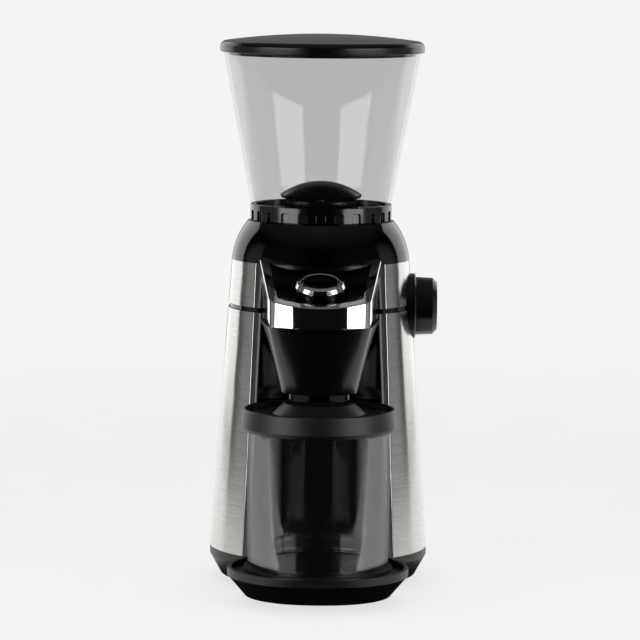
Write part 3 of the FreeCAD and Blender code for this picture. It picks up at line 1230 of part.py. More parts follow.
def make_ring_gear():
    teeth, module = int(size("ring_teeth")), size("gear_module")
    low, high = size("plate_high_z"), size("case_high_z")
    pitch = teeth * module / 2
    tip, root = pitch + ROOT * module, pitch - RING_TIP * module
    space = gear_wire(teeth, tip, root, size("backlash") / 2, math.pi / teeth)
    new_gear("ring_gear", column(size("case_r"), low, high).cut(gear_solid(space, low, high)))


def make_planet_carrier():
    body = new_body("planet_carrier")
    bore = "(burr_shaft_r + press_gap)"
    turned(body, [
        ("0", "carrier_low_z - thrust_high"), ("shaft_r", "carrier_low_z - thrust_high"),
        ("shaft_r", "carrier_low_z"),
        ("carrier_r", "carrier_low_z"), ("carrier_r", "carrier_high_z"), ("hub_r", "carrier_high_z"),
        ("hub_r", "hub_high_z"), (bore, "hub_high_z"), (bore, "carrier_low_z + thrust_high"),
        ("0", "carrier_low_z + thrust_high"),
    ])
    pins = [(f"planet_at_r * cos({turn}deg)", f"planet_at_r * sin({turn}deg)", "pin_r")
            for turn in (0, 120, 240)]
    pad(body, circles(new_sketch(body, at="pin_low_z"), pins), f"carrier_low_z - pin_low_z + {OVER}")


def make_gear_cover():
    body = new_body("gear_cover")
    under = "(cover_top_z - cover_top)"
    turned(body, [
        ("cover_in_r", "case_high_z"), ("case_r", "case_high_z"), ("case_r", "cover_top_z"),
        ("cover_hole_r", "cover_top_z"), ("cover_hole_r", under), ("cover_in_r", under),
    ])


# Burr set

def make_burr_shaft():
    body = new_body("burr_shaft")
    low = "(carrier_low_z + thrust_high + press_gap)"
    pad(body, circles(new_sketch(body, at=low), [("0", "0", "burr_shaft_r")]), f"burr_shaft_high_z - {low}")


def make_burr_bearing():
    body = new_body("burr_bearing")
    bore = "(burr_shaft_r + run_fit)"
    low, high = "burr_bearing_low_z", "burr_bearing_high_z"
    turned(body, [(bore, low), ("burr_bearing_r", low), ("burr_bearing_r", high), (bore, high)])


def make_burr_chamber():
    body = new_body("burr_chamber")
    hole = "(burr_shaft_r + shaft_hole_gap)"
    seat = "(burr_bearing_r + skin_gap)"
    turned(body, [
        (hole, "chamber_floor_z"), (seat, "chamber_floor_z"), (seat, "cover_top_z"),
        ("chamber_boss_r", "cover_top_z"), ("chamber_boss_r", "chamber_floor_z"),
        ("chamber_r", "chamber_floor_z"), ("chamber_r", "chamber_high_z"),
        ("chamber_in_r", "chamber_high_z"), ("chamber_in_r", "chamber_deck_z"), (hole, "chamber_deck_z"),
    ])
    # Outlet spout to the chute
    start = f"(chamber_in_r - {OVER})"
    spout = box_points("-spout_half", "spout_low_z - spout_wall", "spout_half", "spout_high_z")
    pad(body, outline(new_sketch(body, "XZ_Plane", at=start), spout), f"spout_end_f - {start}")
    way = "(spout_half - spout_wall)"
    opening = box_points(f"-{way}", "spout_low_z", way, "spout_high_z - spout_wall")
    pocket(body, outline(new_sketch(body, "XZ_Plane", at="ejector_hub_r"), opening), reverse=True)
    turned(body, [
        (hole, "chamber_deck_z"), ("chamber_in_r", "chamber_deck_z"),
        ("chamber_in_r", f"chamber_high_z + {OVER}"), (hole, f"chamber_high_z + {OVER}"),
    ], "Groove")
    # Keyways that stop the burr carrier from turning
    half = "(key_wide / 2 + key_side_gap)"
    slots = box_points(f"-chamber_r - {OVER}", f"-{half}", f"chamber_r + {OVER}", half)
    pocket(body, outline(new_sketch(body, at="chamber_high_z"), slots), "key_tall")


def make_ejector():
    body = new_body("ejector")
    bore = "(burr_shaft_r + press_gap)"
    deck = "(ejector_low_z + ejector_thick)"
    turned(body, [
        (bore, "ejector_low_z"), ("ejector_r", "ejector_low_z"), ("ejector_r", deck),
        ("ejector_hub_r", deck), ("ejector_hub_r", "ejector_high_z"), (bore, "ejector_high_z"),
    ])
    blade = outline(new_sketch(body, at=deck), box_points(
        f"ejector_hub_r - {OVER}", "-paddle_wide / 2", "ejector_r - paddle_in", "paddle_wide / 2"))
    polar(body, pad(body, blade, "paddle_high"), "paddle_count")


def make_cone_burr():
    body = new_body("cone_burr")
    bore = "(burr_shaft_r + press_gap)"
    low, high = "(cone_low_z + cone_rim)", f"(cone_high_z + {OVER})"
    turned(body, [
        (bore, "cone_low_z"), ("cone_low_r", "cone_low_z"), ("cone_low_r", low),
        ("cone_high_r", "cone_high_z"), (bore, "cone_high_z"),
    ])
    # Slanted cutting flutes, sunk into the cone
    lean = "cone_tall * tan(flute_lean_deg * 1deg)"
    flute = outline(new_sketch(body, "XZ_Plane", at="cone_high_r - flute_deep"), [
        ("-flute_wide / 2", high), (f"-flute_wide / 2 - {lean}", low),
        (f"flute_wide / 4 - {lean}", low), ("flute_wide / 2", high),
    ])
    polar(body, pocket(body, flute, reverse=True), "flute_count")


def make_burr_nut():
    body = new_body("burr_nut")
    corner = [(f"nut_r * cos({60 * i}deg)", f"nut_r * sin({60 * i}deg)") for i in range(6)]
    sketch = outline(new_sketch(body, at="cone_high_z + skin_gap"), corner)
    circles(sketch, [("0", "0", "burr_shaft_r + press_gap")])
    pad(body, sketch, "nut_high")


def make_ring_burr():
    body = new_body("ring_burr")
    turned(body, [
        ("burr_ring_low_in_r", "burr_ring_low_z"), ("burr_ring_r", "burr_ring_low_z"),
        ("burr_ring_r", "burr_ring_high_z - burr_seat_gap"),
        ("burr_ring_high_in_r", "burr_ring_high_z - burr_seat_gap"),
    ])
    start = f"burr_ring_high_in_r - {OVER}"
    groove = outline(new_sketch(body, at="burr_ring_high_z"), [
        (start, "-groove_wide / 2"), ("burr_ring_low_in_r", "-groove_wide / 2"),
        ("burr_ring_low_in_r + groove_deep", "0"), ("burr_ring_low_in_r", "groove_wide / 2"),
        (start, "groove_wide / 2"),
    ])
    polar(body, pocket(body, groove), "groove_count")


def make_burr_carrier():
    body = new_body("burr_carrier")
    pocket_r = "(burr_ring_r + burr_seat_gap)"
    turned(body, [
        ("carrier_mouth_r", "carrier_top_z"), ("carrier_throat_r", "burr_ring_high_z + throat_high"),
        ("carrier_throat_r", "burr_ring_high_z"), (pocket_r, "burr_ring_high_z"), (pocket_r, "holder_low_z"),
        ("holder_r", "holder_low_z"), ("holder_r", "holder_step_z"),
        ("carrier_flange_r", "carrier_flange_low_z"), ("carrier_flange_r", "carrier_top_z"),
    ])
    keys = new_sketch(body, at="key_low_z + key_gap")
    outline(keys, box_points(f"holder_r - {OVER}", "-key_wide / 2", "key_r", "key_wide / 2"))
    outline(keys, box_points("-key_r", "-key_wide / 2", f"{OVER} - holder_r", "key_wide / 2"))
    pad(body, keys, "holder_step_z - key_low_z")


# Electrics

def make_control_board():
    body = new_body("control_board")
    low = "(board_z + skin_gap)"
    deck = f"{low} + board_thick"
    board = box_points("-board_half_x", "board_low_y", "board_half_x", "board_high_y")
    pad(body, outline(new_sketch(body, at=low), board), "board_thick")
    relay = box_points("relay_left_x", "relay_low_y", "relay_right_x", "relay_high_y")
    pad(body, outline(new_sketch(body, at=deck), relay), "relay_high")
    capacitors = [("capacitor_x", y, "capacitor_r") for y in ("capacitor_near_y", "capacitor_far_y")]
    pad(body, circles(new_sketch(body, at=deck), capacitors), "capacitor_high")


def make_hopper_switch():
    body = new_body("hopper_switch")
    near = "(-chamber_r - seat_gap)"
    case = box_points(f"{near} - hopper_switch_deep", "-hopper_switch_half", near, "hopper_switch_half")
    pad(body, outline(new_sketch(body, at="hopper_switch_low_z"), case), "hopper_switch_tall")
    pin = [(f"{near} - hopper_switch_pin_at", "0", "hopper_switch_pin_r")]
    pad(body, circles(new_sketch(body, at="hopper_switch_high_z"), pin),
        "hopper_switch_pin_z - hopper_switch_high_z")


make_base_tray()
make_bottom_cover()
make_rubber_feet()
make_cover_screws()
make_body_housing()
cut_inlet(make_steel("lower_steel_shell", "(base_top_z + seat_gap)", "seam_low_z"))
make_seam_ring()
make_steel("upper_steel_band", "seam_high_z", "(shoulder_z - seat_gap)")
make_head_housing()
make_head_cover()
make_cord_inlet()
make_adjusting_ring()
make_hopper()
make_hopper_floor()
make_bean_guard()
make_hopper_lid()
make_control_panel()
make_chrome_bezel()
make_chute_funnel()
make_spout_nozzle()
make_button_collar()
make_button_ring()
make_button_cap()
make_button_spring()
make_switch_bracket()
make_start_switch()
make_knob_escutcheon()
make_timer_knob()
make_knob_disc()
make_timer_pot()
make_pot_shaft()
make_cup()
make_cup_lid()
make_motor_can()
make_motor_end_bell()
make_motor_bearings()
make_motor_magnets()
make_motor_brushes()
make_rotor_core()
make_motor_shaft()
make_commutator()
make_frame_posts()
make_gear_plate()
make_sun_gear()
for planet in range(3):
    make_planet_gear(planet)
make_ring_gear()
make_planet_carrier()
make_gear_cover()
make_burr_shaft()
make_burr_bearing()
make_burr_chamber()
make_ejector()
make_cone_burr()
make_burr_nut()
make_ring_burr()
make_burr_carrier()
make_control_board()
make_hopper_switch()

# Everything has to be sound before any file is written
doc.recompute()
faults = [item.Label for item in doc.Objects if {"Invalid", "Error"} & set(item.State)]
faults += [item.Label for item in subparts if item.Shape.isNull() or not item.Shape.isValid()]
if faults:
    raise SystemExit("not sound: " + ", ".join(faults))

os.makedirs("parts", exist_ok=True)
for item in subparts:
    item.Shape.exportStep(f"parts/{item.Label}.step")
print(len(subparts), "sub-parts written")
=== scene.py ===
import json
import math
import bmesh
import bpy
import numpy as np
from mathutils import Matrix, Vector


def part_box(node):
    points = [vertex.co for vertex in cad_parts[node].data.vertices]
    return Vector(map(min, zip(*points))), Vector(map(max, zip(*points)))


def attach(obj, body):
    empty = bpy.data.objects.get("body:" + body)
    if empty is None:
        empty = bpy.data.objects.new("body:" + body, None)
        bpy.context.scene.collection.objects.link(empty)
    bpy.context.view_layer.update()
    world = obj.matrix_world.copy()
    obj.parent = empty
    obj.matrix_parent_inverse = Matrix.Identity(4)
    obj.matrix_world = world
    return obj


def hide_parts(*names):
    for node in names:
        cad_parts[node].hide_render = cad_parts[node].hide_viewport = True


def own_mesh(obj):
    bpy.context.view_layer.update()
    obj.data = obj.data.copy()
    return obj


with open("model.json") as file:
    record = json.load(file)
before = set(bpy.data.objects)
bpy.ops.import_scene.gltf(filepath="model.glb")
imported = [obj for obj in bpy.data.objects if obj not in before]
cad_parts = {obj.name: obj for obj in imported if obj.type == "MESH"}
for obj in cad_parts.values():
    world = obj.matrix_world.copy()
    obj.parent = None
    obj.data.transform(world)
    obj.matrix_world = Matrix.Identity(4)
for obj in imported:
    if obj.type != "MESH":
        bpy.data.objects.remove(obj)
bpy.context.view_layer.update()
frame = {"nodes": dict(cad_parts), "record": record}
nodes = frame["nodes"]
mm = 0.001
print("frame loaded,", len(nodes), "nodes")


def centreOf(node):
    low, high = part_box(node)
    return (Vector(low) + Vector(high)) / 2


burrAxis = centreOf("burr_shaft")    # body, head and hopper turn about this upright line
cupAxis = centreOf("grounds_cup")


def srgb(code):
    channels = np.array([int(code[i:i + 2], 16) for i in (1, 3, 5)]) / 255
    linear = np.where(channels > 0.04045, ((channels + 0.055) / 1.055) ** 2.4, channels / 12.92)
    return (*linear.tolist(), 1.0)


def addNode(tree, kind, links=None, **settings):
    # a setting goes to the node's own property, or else to the input of that name
    node = tree.nodes.new(kind)
    for name, value in settings.items():
        if hasattr(node, name):
            setattr(node, name, value)
        else:
            node.inputs[name.replace("_", " ")].default_value = value
    for name, socket in (links or {}).items():
        tree.links.new(socket, node.inputs[name])
    return node


def newFinish(name, **settings):
    finish = bpy.data.materials.new(name)
    finish.use_nodes = True
    tree = finish.node_tree
    tree.nodes.clear()
    shader = addNode(tree, "ShaderNodeBsdfPrincipled", **settings)
    addNode(tree, "ShaderNodeOutputMaterial", {"Surface": shader.outputs["BSDF"]})
    place = addNode(tree, "ShaderNodeTexCoord").outputs["Object"]
    return finish, tree, shader, place


def perMetre(millimetres):
    # a noise texture's scale is its features in each metre
    return 1000 / millimetres


def mouldedPlastic(name, dark, light, rough, grain, depth, reflect=0.5):
    # Injection-moulded plastic, mostly black ABS. The eye sees a deep tone with soft edges to its reflections,
    # a faint cloudiness, and the mould's fine grain in the sheen.
    finish, tree, shader, place = newFinish(name, IOR=1.53, Specular_IOR_Level=reflect)
    cloud = addNode(tree, "ShaderNodeTexNoise", {"Vector": place}, Scale=perMetre(28), Detail=3.0)
    tone = addNode(tree, "ShaderNodeValToRGB", {"Fac": cloud.outputs["Fac"]})
    tone.color_ramp.elements[0].color, tone.color_ramp.elements[1].color = srgb(dark), srgb(light)
    fine = addNode(tree, "ShaderNodeTexNoise", {"Vector": place}, Scale=perMetre(grain), Detail=2.0)
    sheen = addNode(tree, "ShaderNodeMapRange", {"Value": fine.outputs["Fac"]},
                    To_Min=rough * 0.8, To_Max=rough * 1.25)
    bump = addNode(tree, "ShaderNodeBump", {"Height": fine.outputs["Fac"]},
                   Strength=0.35, Distance=depth * mm)
    tree.links.new(tone.outputs["Color"], shader.inputs["Base Color"])
    tree.links.new(sheen.outputs["Result"], shader.inputs["Roughness"])
    tree.links.new(bump.outputs["Normal"], shader.inputs["Normal"])
    return finish


def brushedSteel(name):
    # Stainless sheet brushed round the body before it was rolled. The eye sees fine level lines,
    # a highlight that is drawn out up and down, and a soft grey fall-off to each side.
    drawnOut, spacing = 60, 0.35    # the real lines are about 0.05 mm apart; these are wider so that they show
    finish, tree, shader, place = newFinish(name, Metallic=1.0, Anisotropic=0.7, Anisotropic_Rotation=0.25)
    stretch = addNode(tree, "ShaderNodeMapping", {"Vector": place}, Scale=(1, 1, drawnOut))
    lines = addNode(tree, "ShaderNodeTexNoise", {"Vector": stretch.outputs["Vector"]},
                    Scale=perMetre(spacing) / drawnOut, Detail=4.0, Roughness=0.65)
    tone = addNode(tree, "ShaderNodeValToRGB", {"Fac": lines.outputs["Fac"]})
    tone.color_ramp.elements[0].color, tone.color_ramp.elements[1].color = srgb("#bebdba"), srgb("#dddcd9")
    tone.color_ramp.elements[0].position, tone.color_ramp.elements[1].position = 0.25, 0.75
    sheen = addNode(tree, "ShaderNodeMapRange", {"Value": lines.outputs["Fac"]}, To_Min=0.14, To_Max=0.24)
    bump = addNode(tree, "ShaderNodeBump", {"Height": lines.outputs["Fac"]}, Strength=0.2, Distance=0.02 * mm)
    around = addNode(tree, "ShaderNodeTangent", direction_type="RADIAL", axis="Z")
    tree.links.new(tone.outputs["Color"], shader.inputs["Base Color"])
    tree.links.new(sheen.outputs["Result"], shader.inputs["Roughness"])
    tree.links.new(bump.outputs["Normal"], shader.inputs["Normal"])
    tree.links.new(around.outputs["Tangent"], shader.inputs["Tangent"])
    return finish


def plainMetal(name, dark, light, rough, grain, metal=1.0):
    # Machined, cast or plated metal. The eye sees a faintly cloudy tone and a sheen that varies with the grain.
    finish, tree, shader, place = newFinish(name, Metallic=metal)
    cloud = addNode(tree, "ShaderNodeTexNoise", {"Vector": place}, Scale=perMetre(grain), Detail=4.0)
    tone = addNode(tree, "ShaderNodeValToRGB", {"Fac": cloud.outputs["Fac"]})
    tone.color_ramp.elements[0].color, tone.color_ramp.elements[1].color = srgb(dark), srgb(light)
    sheen = addNode(tree, "ShaderNodeMapRange", {"Value": cloud.outputs["Fac"]},
                    To_Min=rough * 0.75, To_Max=rough * 1.3)
    tree.links.new(tone.outputs["Color"], shader.inputs["Base Color"])
    tree.links.new(sheen.outputs["Result"], shader.inputs["Roughness"])
    return finish


def clearPlastic(name, smoke, rough, share, bend):
    # Moulded clear SAN with a grey smoke in it. The eye sees what lies behind, darker through each face,
    # pale edges where the wall is seen along its length, and slow waves where the melt flowed.
    # Only the share that isn't see-through reflects, so the IOR is raised until the wall reflects as SAN does.
    finish, tree, shader, place = newFinish(name, Base_Color=srgb(smoke), IOR=bend, Alpha=share)
    flow = addNode(tree, "ShaderNodeTexNoise", {"Vector": place}, Scale=perMetre(45), Detail=1.0)
    sheen = addNode(tree, "ShaderNodeMapRange", {"Value": flow.outputs["Fac"]},
                    To_Min=rough * 0.5, To_Max=rough * 1.5)
    bump = addNode(tree, "ShaderNodeBump", {"Height": flow.outputs["Fac"]}, Strength=0.1, Distance=0.2 * mm)
    tree.links.new(sheen.outputs["Result"], shader.inputs["Roughness"])
    tree.links.new(bump.outputs["Normal"], shader.inputs["Normal"])
    return finish


finishes = {
    "gloss_black_plastic": mouldedPlastic("gloss black ABS", "#040405", "#080809", 0.09, 1.6, 0.006),
    "satin_black_plastic": mouldedPlastic("satin black ABS", "#040405", "#080809", 0.2, 0.8, 0.01, 0.35),
    "textured_black_plastic": mouldedPlastic("spark-textured black ABS", "#0e0e0f", "#161617", 0.42, 0.7, 0.05),
    "semi_gloss_black_plastic": mouldedPlastic("semi-gloss black ABS", "#070708", "#0c0c0d", 0.24, 0.9, 0.01),
    "polished_black_plastic": mouldedPlastic("polished black ABS", "#070708", "#0c0c0d", 0.16, 1.2, 0.006),
    "grey_trim_plastic": mouldedPlastic("satin grey ABS", "#48484a", "#525254", 0.2, 0.9, 0.01),
    "brushed_steel": brushedSteel("brushed stainless steel"),
    "polished_steel": plainMetal("polished stainless steel", "#c9c8c5", "#dcdbd8", 0.12, 8),
    "chromed_plastic": plainMetal("chrome plate on ABS", "#dcdddf", "#ecedee", 0.05, 30),
    "smoked_clear_plastic": clearPlastic("smoked clear SAN", "#2a2a2b", 0.02, 0.155, 3.1),
    "clear_beaker_plastic": clearPlastic("thick clear SAN", "#2a2a2b", 0.02, 0.25, 5.4),
    "rubber": mouldedPlastic("moulded nitrile rubber", "#0d0d0e", "#17171a", 0.75, 0.6, 0.05, 0.3),
    "hardened_steel": plainMetal("hardened tool steel", "#7d7c79", "#a3a29e", 0.28, 4),
    "zinc_plated_steel": plainMetal("zinc plated steel", "#a6a8a9", "#c4c6c4", 0.3, 6),
    "sintered_bronze": plainMetal("sintered bronze", "#8a6a3a", "#b08a52", 0.45, 1.2),
    "copper": plainMetal("hard-drawn copper", "#a8643e", "#c98358", 0.3, 3),
    "ferrite": plainMetal("sintered ferrite", "#1d1d20", "#2c2c30", 0.6, 2, 0.2),
    "die_cast_zinc": plainMetal("die-cast zinc", "#8f9092", "#aaabad", 0.42, 5),
    "white_gear_plastic": mouldedPlastic("acetal", "#d9d7cf", "#e8e6df", 0.38, 1.5, 0.02),
    "circuit_board": mouldedPlastic("green solder mask", "#0f3a22", "#17502f", 0.3, 2.5, 0.02),
}
print("finishes made,", len(finishes))


def roundedProfile(corners, bendSteps=6, roomShare=0.48):
    # each corner is (radius, height, rounding) in mm; a rounded corner is cut back along both its sides
    # by rounding / tan(half the angle between them), and an arc joins the two cuts;
    # a cut takes at most roomShare of a side, so two roundings never meet
    points = np.array([corner[:2] for corner in corners], float)
    parts = []
    for i, corner in enumerate(corners):
        here, before, after = points[i], points[i - 1], points[(i + 1) % len(points)]
        bend = corner[2] if len(corner) > 2 else 0
        if not bend:
            parts.append(here[None])
            continue
        back, ahead = before - here, after - here
        room = roomShare * min(np.linalg.norm(back), np.linalg.norm(ahead))
        back, ahead = back / np.linalg.norm(back), ahead / np.linalg.norm(ahead)
        half = np.arccos(np.clip(back @ ahead, -1, 1)) / 2
        cut = min(bend / np.tan(half), room)
        bend = cut * np.tan(half)
        middle = here + (back + ahead) / np.linalg.norm(back + ahead) * bend / np.sin(half)
        first, last = here + back * cut - middle, here + ahead * cut - middle
        start = np.arctan2(first[1], first[0])
        sweep = (np.arctan2(last[1], last[0]) - start + np.pi) % (2 * np.pi) - np.pi
        angles = start + sweep * np.linspace(0, 1, bendSteps + 1)
        parts.append(middle + bend * np.stack([np.cos(angles), np.sin(angles)], 1))
    return np.concatenate(parts)


def arcCorners(start, end, radius, steps):
    # points on the circle of that radius through start and end; a negative radius bows the other way
    start, end = np.array(start, float), np.array(end, float)
    half = (end - start) / 2
    reach = np.linalg.norm(half)
    side = np.array([half[1], -half[0]]) / reach * np.sign(radius)
    middle = start + half - side * np.sqrt(radius ** 2 - reach ** 2)
    first, last = start - middle, end - middle
    angle = np.arctan2(first[1], first[0])
    sweep = (np.arctan2(last[1], last[0]) - angle + np.pi) % (2 * np.pi) - np.pi
    angles = angle + sweep * np.linspace(0, 1, steps + 1)
    return [tuple(p) for p in middle + abs(radius) * np.stack([np.cos(angles), np.sin(angles)], 1)]


def turnedGrid(profile, count, place):
    # point (r, h) of the profile at angle a stands at (r cos a, r sin a, h), then place moves it
    angles = np.linspace(0, 2 * np.pi, count, endpoint=False)
    radius, height = profile[:, :1] * mm, profile[:, 1:] * mm
    grid = np.stack([radius * np.cos(angles), radius * np.sin(angles), height + 0 * angles], -1)
    return grid @ np.array(place.to_3x3()).T + np.array(place.translation)


weld = dict(join=0.001, sliver=0.0005, flat=0.2)    # mm, mm and degrees


def putMesh(name, points, faces, sharpAngle):
    mesh = bpy.data.meshes.new(name)
    mesh.from_pydata(points.tolist(), [], faces if isinstance(faces, list) else faces.tolist())
    work = bmesh.new()
    work.from_mesh(mesh)
    bmesh.ops.remove_doubles(work, verts=work.verts, dist=weld["join"] * mm)    # closes seams and poles
    bmesh.ops.dissolve_degenerate(work, edges=work.edges, dist=weld["sliver"] * mm)
    bmesh.ops.recalc_face_normals(work, faces=work.faces)
    work.to_mesh(mesh)
    work.free()
    mesh.polygons.foreach_set("use_smooth", np.ones(len(mesh.polygons), bool))
    mesh.set_sharp_from_angle(angle=math.radians(sharpAngle))
    piece = bpy.data.objects.new(name, mesh)
    bpy.context.scene.collection.objects.link(piece)
    # broad faces outweigh the narrow ones beside them
    shade = piece.modifiers.new("evenShade", "WEIGHTED_NORMAL")
    shade.keep_sharp = True
    return piece


def gridMesh(name, grid, loop, sharpAngle=34):
    # neighbouring grid points make quads; columns always close round, rows close where loop is true
    index = np.arange(grid.shape[0] * grid.shape[1]).reshape(grid.shape[:2])
    index = np.concatenate([index, index[:, :1]], 1)
    if loop:
        index = np.concatenate([index, index[:1]], 0)
    quads = np.stack([index[:-1, :-1], index[:-1, 1:], index[1:, 1:], index[1:, :-1]], -1)
    return putMesh(name, grid.reshape(-1, 3), quads.reshape(-1, 4), sharpAngle)


bodyOf = {node: body for body, group in frame["record"]["behaviour"]["bodies"].items() for node in group}
slotOf = {part["node"]: part["material_slot"] for part in frame["record"]["subparts"]}

# pieces with more or less gloss than the rest of their slot, as their faces in the mould had
ownFinish = dict.fromkeys(("cup_lid", "base_tray", "bottom_cover"), "textured_black_plastic")
ownFinish |= dict.fromkeys(("hopper_lid", "timer_knob", "knob_escutcheon", "chute_funnel"),
                           "semi_gloss_black_plastic")
ownFinish["adjusting_ring"] = "polished_black_plastic"
ownFinish |= dict(body_housing="gloss_black_plastic", spout_nozzle="gloss_black_plastic",
                  grounds_cup="clear_beaker_plastic")


def dress(piece, node):
    # the piece takes the finish, the body and the place of the node it stands for
    piece.data.materials.append(finishes[ownFinish.get(node, slotOf[node])])
    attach(piece, bodyOf[node])
    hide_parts(node)


upright = Matrix.Translation((burrAxis.x, burrAxis.y, 0))
upCup = Matrix.Translation((cupAxis.x, cupAxis.y, 0))


# hopper lid: a shallow dome, rolled over into an upright rim, with a plug that sits in the hopper
lid = dict(top=400, crown=5, edgeR=70.6, edgeZ=395, edgeRound=4.6, rimR=74.3, rimHighZ=391.5, rimLowZ=387,
           lip=1.5, lipRound=0.5, lipInRound=0.4, seatZ=390.2, plugR=67.6, plugLowZ=384.6, plugWall=2, plugRound=0.6,
           wall=2.4, topSteps=20, edgeSteps=10, segments=224)
bow = (lid["edgeR"] ** 2 + lid["crown"] ** 2) / (2 * lid["crown"])
plugIn = lid["plugR"] - lid["plugWall"]
lidCorners = [
    *arcCorners((0, lid["top"]), (lid["edgeR"], lid["edgeZ"]), -bow, lid["topSteps"])[:-1],
    *arcCorners((lid["edgeR"], lid["edgeZ"]), (lid["rimR"], lid["rimHighZ"]), -lid["edgeRound"], lid["edgeSteps"]),
    (lid["rimR"], lid["rimLowZ"], lid["lipRound"]), (lid["rimR"] - lid["lip"], lid["rimLowZ"], lid["lipInRound"]),
    (lid["rimR"] - lid["lip"], lid["seatZ"]), (lid["plugR"], lid["seatZ"]),
    (lid["plugR"], lid["plugLowZ"], lid["plugRound"]), (plugIn, lid["plugLowZ"], lid["plugRound"]),
    (plugIn, lid["top"] - lid["wall"] - lid["crown"]), (0, lid["top"] - lid["wall"]),
]
hopperLid = gridMesh("hopperLid", turnedGrid(roundedProfile(lidCorners), lid["segments"], upright), False)
dress(hopperLid, "hopper_lid")

# hopper: a clear cone on a short spigot, one closed wall
bean = dict(spigotR=47.3, spigotLowZ=268.6, lowZ=276.7, lowR=51, highZ=390, highR=72.1, wall=2.5, stepIn=48.966,
            spigotRound=0.5, stepRound=0.8, rimRound=0.6, segments=256)
hopperCorners = [
    (bean["spigotR"], bean["spigotLowZ"], bean["spigotRound"]), (bean["spigotR"], bean["lowZ"]),
    (bean["lowR"], bean["lowZ"], bean["stepRound"]), (bean["highR"], bean["highZ"], bean["rimRound"]),
    (bean["highR"] - bean["wall"], bean["highZ"], bean["rimRound"]),
    (bean["stepIn"], bean["lowZ"] + bean["wall"], bean["stepRound"]), (bean["spigotR"] - bean["wall"], bean["lowZ"]),
    (bean["spigotR"] - bean["wall"], bean["spigotLowZ"], bean["spigotRound"]),
]
hopperCone = gridMesh("hopperCone", turnedGrid(roundedProfile(hopperCorners), bean["segments"], upright), True)
dress(hopperCone, "hopper")

# head dome: one arc from the steel band up to the setting ring's ledge
dome = dict(lowR=64.7, lowZ=236.5, highR=53, highZ=264.5, neckR=46.3, bend=49.6, wall=2.4, land=1,
            ledgeRound=0.8, neckRound=0.4, outSteps=28, inSteps=20, segments=224)
domeCorners = [
    *arcCorners((dome["lowR"], dome["lowZ"]), (dome["highR"], dome["highZ"]), dome["bend"], dome["outSteps"])[:-1],
    (dome["highR"], dome["highZ"], dome["ledgeRound"]), (dome["neckR"], dome["highZ"], dome["neckRound"]),
    (dome["neckR"], dome["highZ"] - dome["wall"]),
    *arcCorners((dome["highR"] - dome["land"], dome["highZ"] - dome["wall"]),
                (dome["lowR"] - dome["wall"], dome["lowZ"]), -(dome["bend"] - dome["wall"]), dome["inSteps"]),
]
headDome = gridMesh("headDome", turnedGrid(roundedProfile(domeCorners), dome["segments"], upright), True)
dress(headDome, "head_cover")

# cup: a clear beaker with a rounded foot and a thick floor
cup = dict(lowR=50.4, lowZ=25.2, highR=51.7, highZ=131, wall=2, floor=2.6, foot=3, footIn=2, rimRound=0.5,
           segments=224)
cupCorners = [
    (0, cup["lowZ"]), (cup["lowR"], cup["lowZ"], cup["foot"]), (cup["highR"], cup["highZ"], cup["rimRound"]),
    (cup["highR"] - cup["wall"], cup["highZ"], cup["rimRound"]),
    (cup["lowR"] - cup["wall"], cup["lowZ"] + cup["floor"], cup["footIn"]), (0, cup["lowZ"] + cup["floor"]),
]
groundsCup = gridMesh("groundsCup", turnedGrid(roundedProfile(cupCorners), cup["segments"], upCup), False)
dress(groundsCup, "grounds_cup")

# cup lid: a deep rim, a dished top and a cone up to the mouth
cap = dict(rimR=55.2, rimTopR=53.9, lowZ=122.5, highZ=138, chamfer=2.6, inR=52.1, ledgeR=49.1, seatZ=131.2,
           dishZ=134.5, wall=2, edge=2.2, slope=2, coneR=33, mouthR=24.8, mouthZ=142, mouthRound=0.7,
           coneRound=1, skirtInRound=0.4, skirtRound=0.6, chamferRound=1.2, rimRound=1, dishRound=0.8, segments=224)
capCorners = [
    (cap["mouthR"] - cap["wall"], cap["mouthZ"], cap["mouthRound"]),
    (cap["coneR"] - cap["wall"], cap["dishZ"] - cap["wall"], cap["coneRound"]),
    (cap["ledgeR"], cap["dishZ"] - cap["wall"]), (cap["ledgeR"], cap["seatZ"]), (cap["inR"], cap["seatZ"]),
    (cap["inR"], cap["lowZ"], cap["skirtInRound"]),
    (cap["rimR"] - cap["chamfer"] / 2, cap["lowZ"], cap["skirtRound"]),
    (cap["rimR"], cap["lowZ"] + cap["chamfer"], cap["chamferRound"]), (cap["rimTopR"], cap["highZ"], cap["rimRound"]),
    (cap["rimTopR"] - cap["edge"], cap["highZ"], cap["dishRound"]),
    (cap["rimTopR"] - cap["edge"] - cap["slope"], cap["dishZ"], cap["dishRound"]),
    (cap["coneR"], cap["dishZ"], cap["coneRound"]), (cap["mouthR"], cap["mouthZ"], cap["mouthRound"]),
]
cupLid = gridMesh("cupLid", turnedGrid(roundedProfile(capCorners), cap["segments"], upCup), True)
dress(cupLid, "cup_lid")

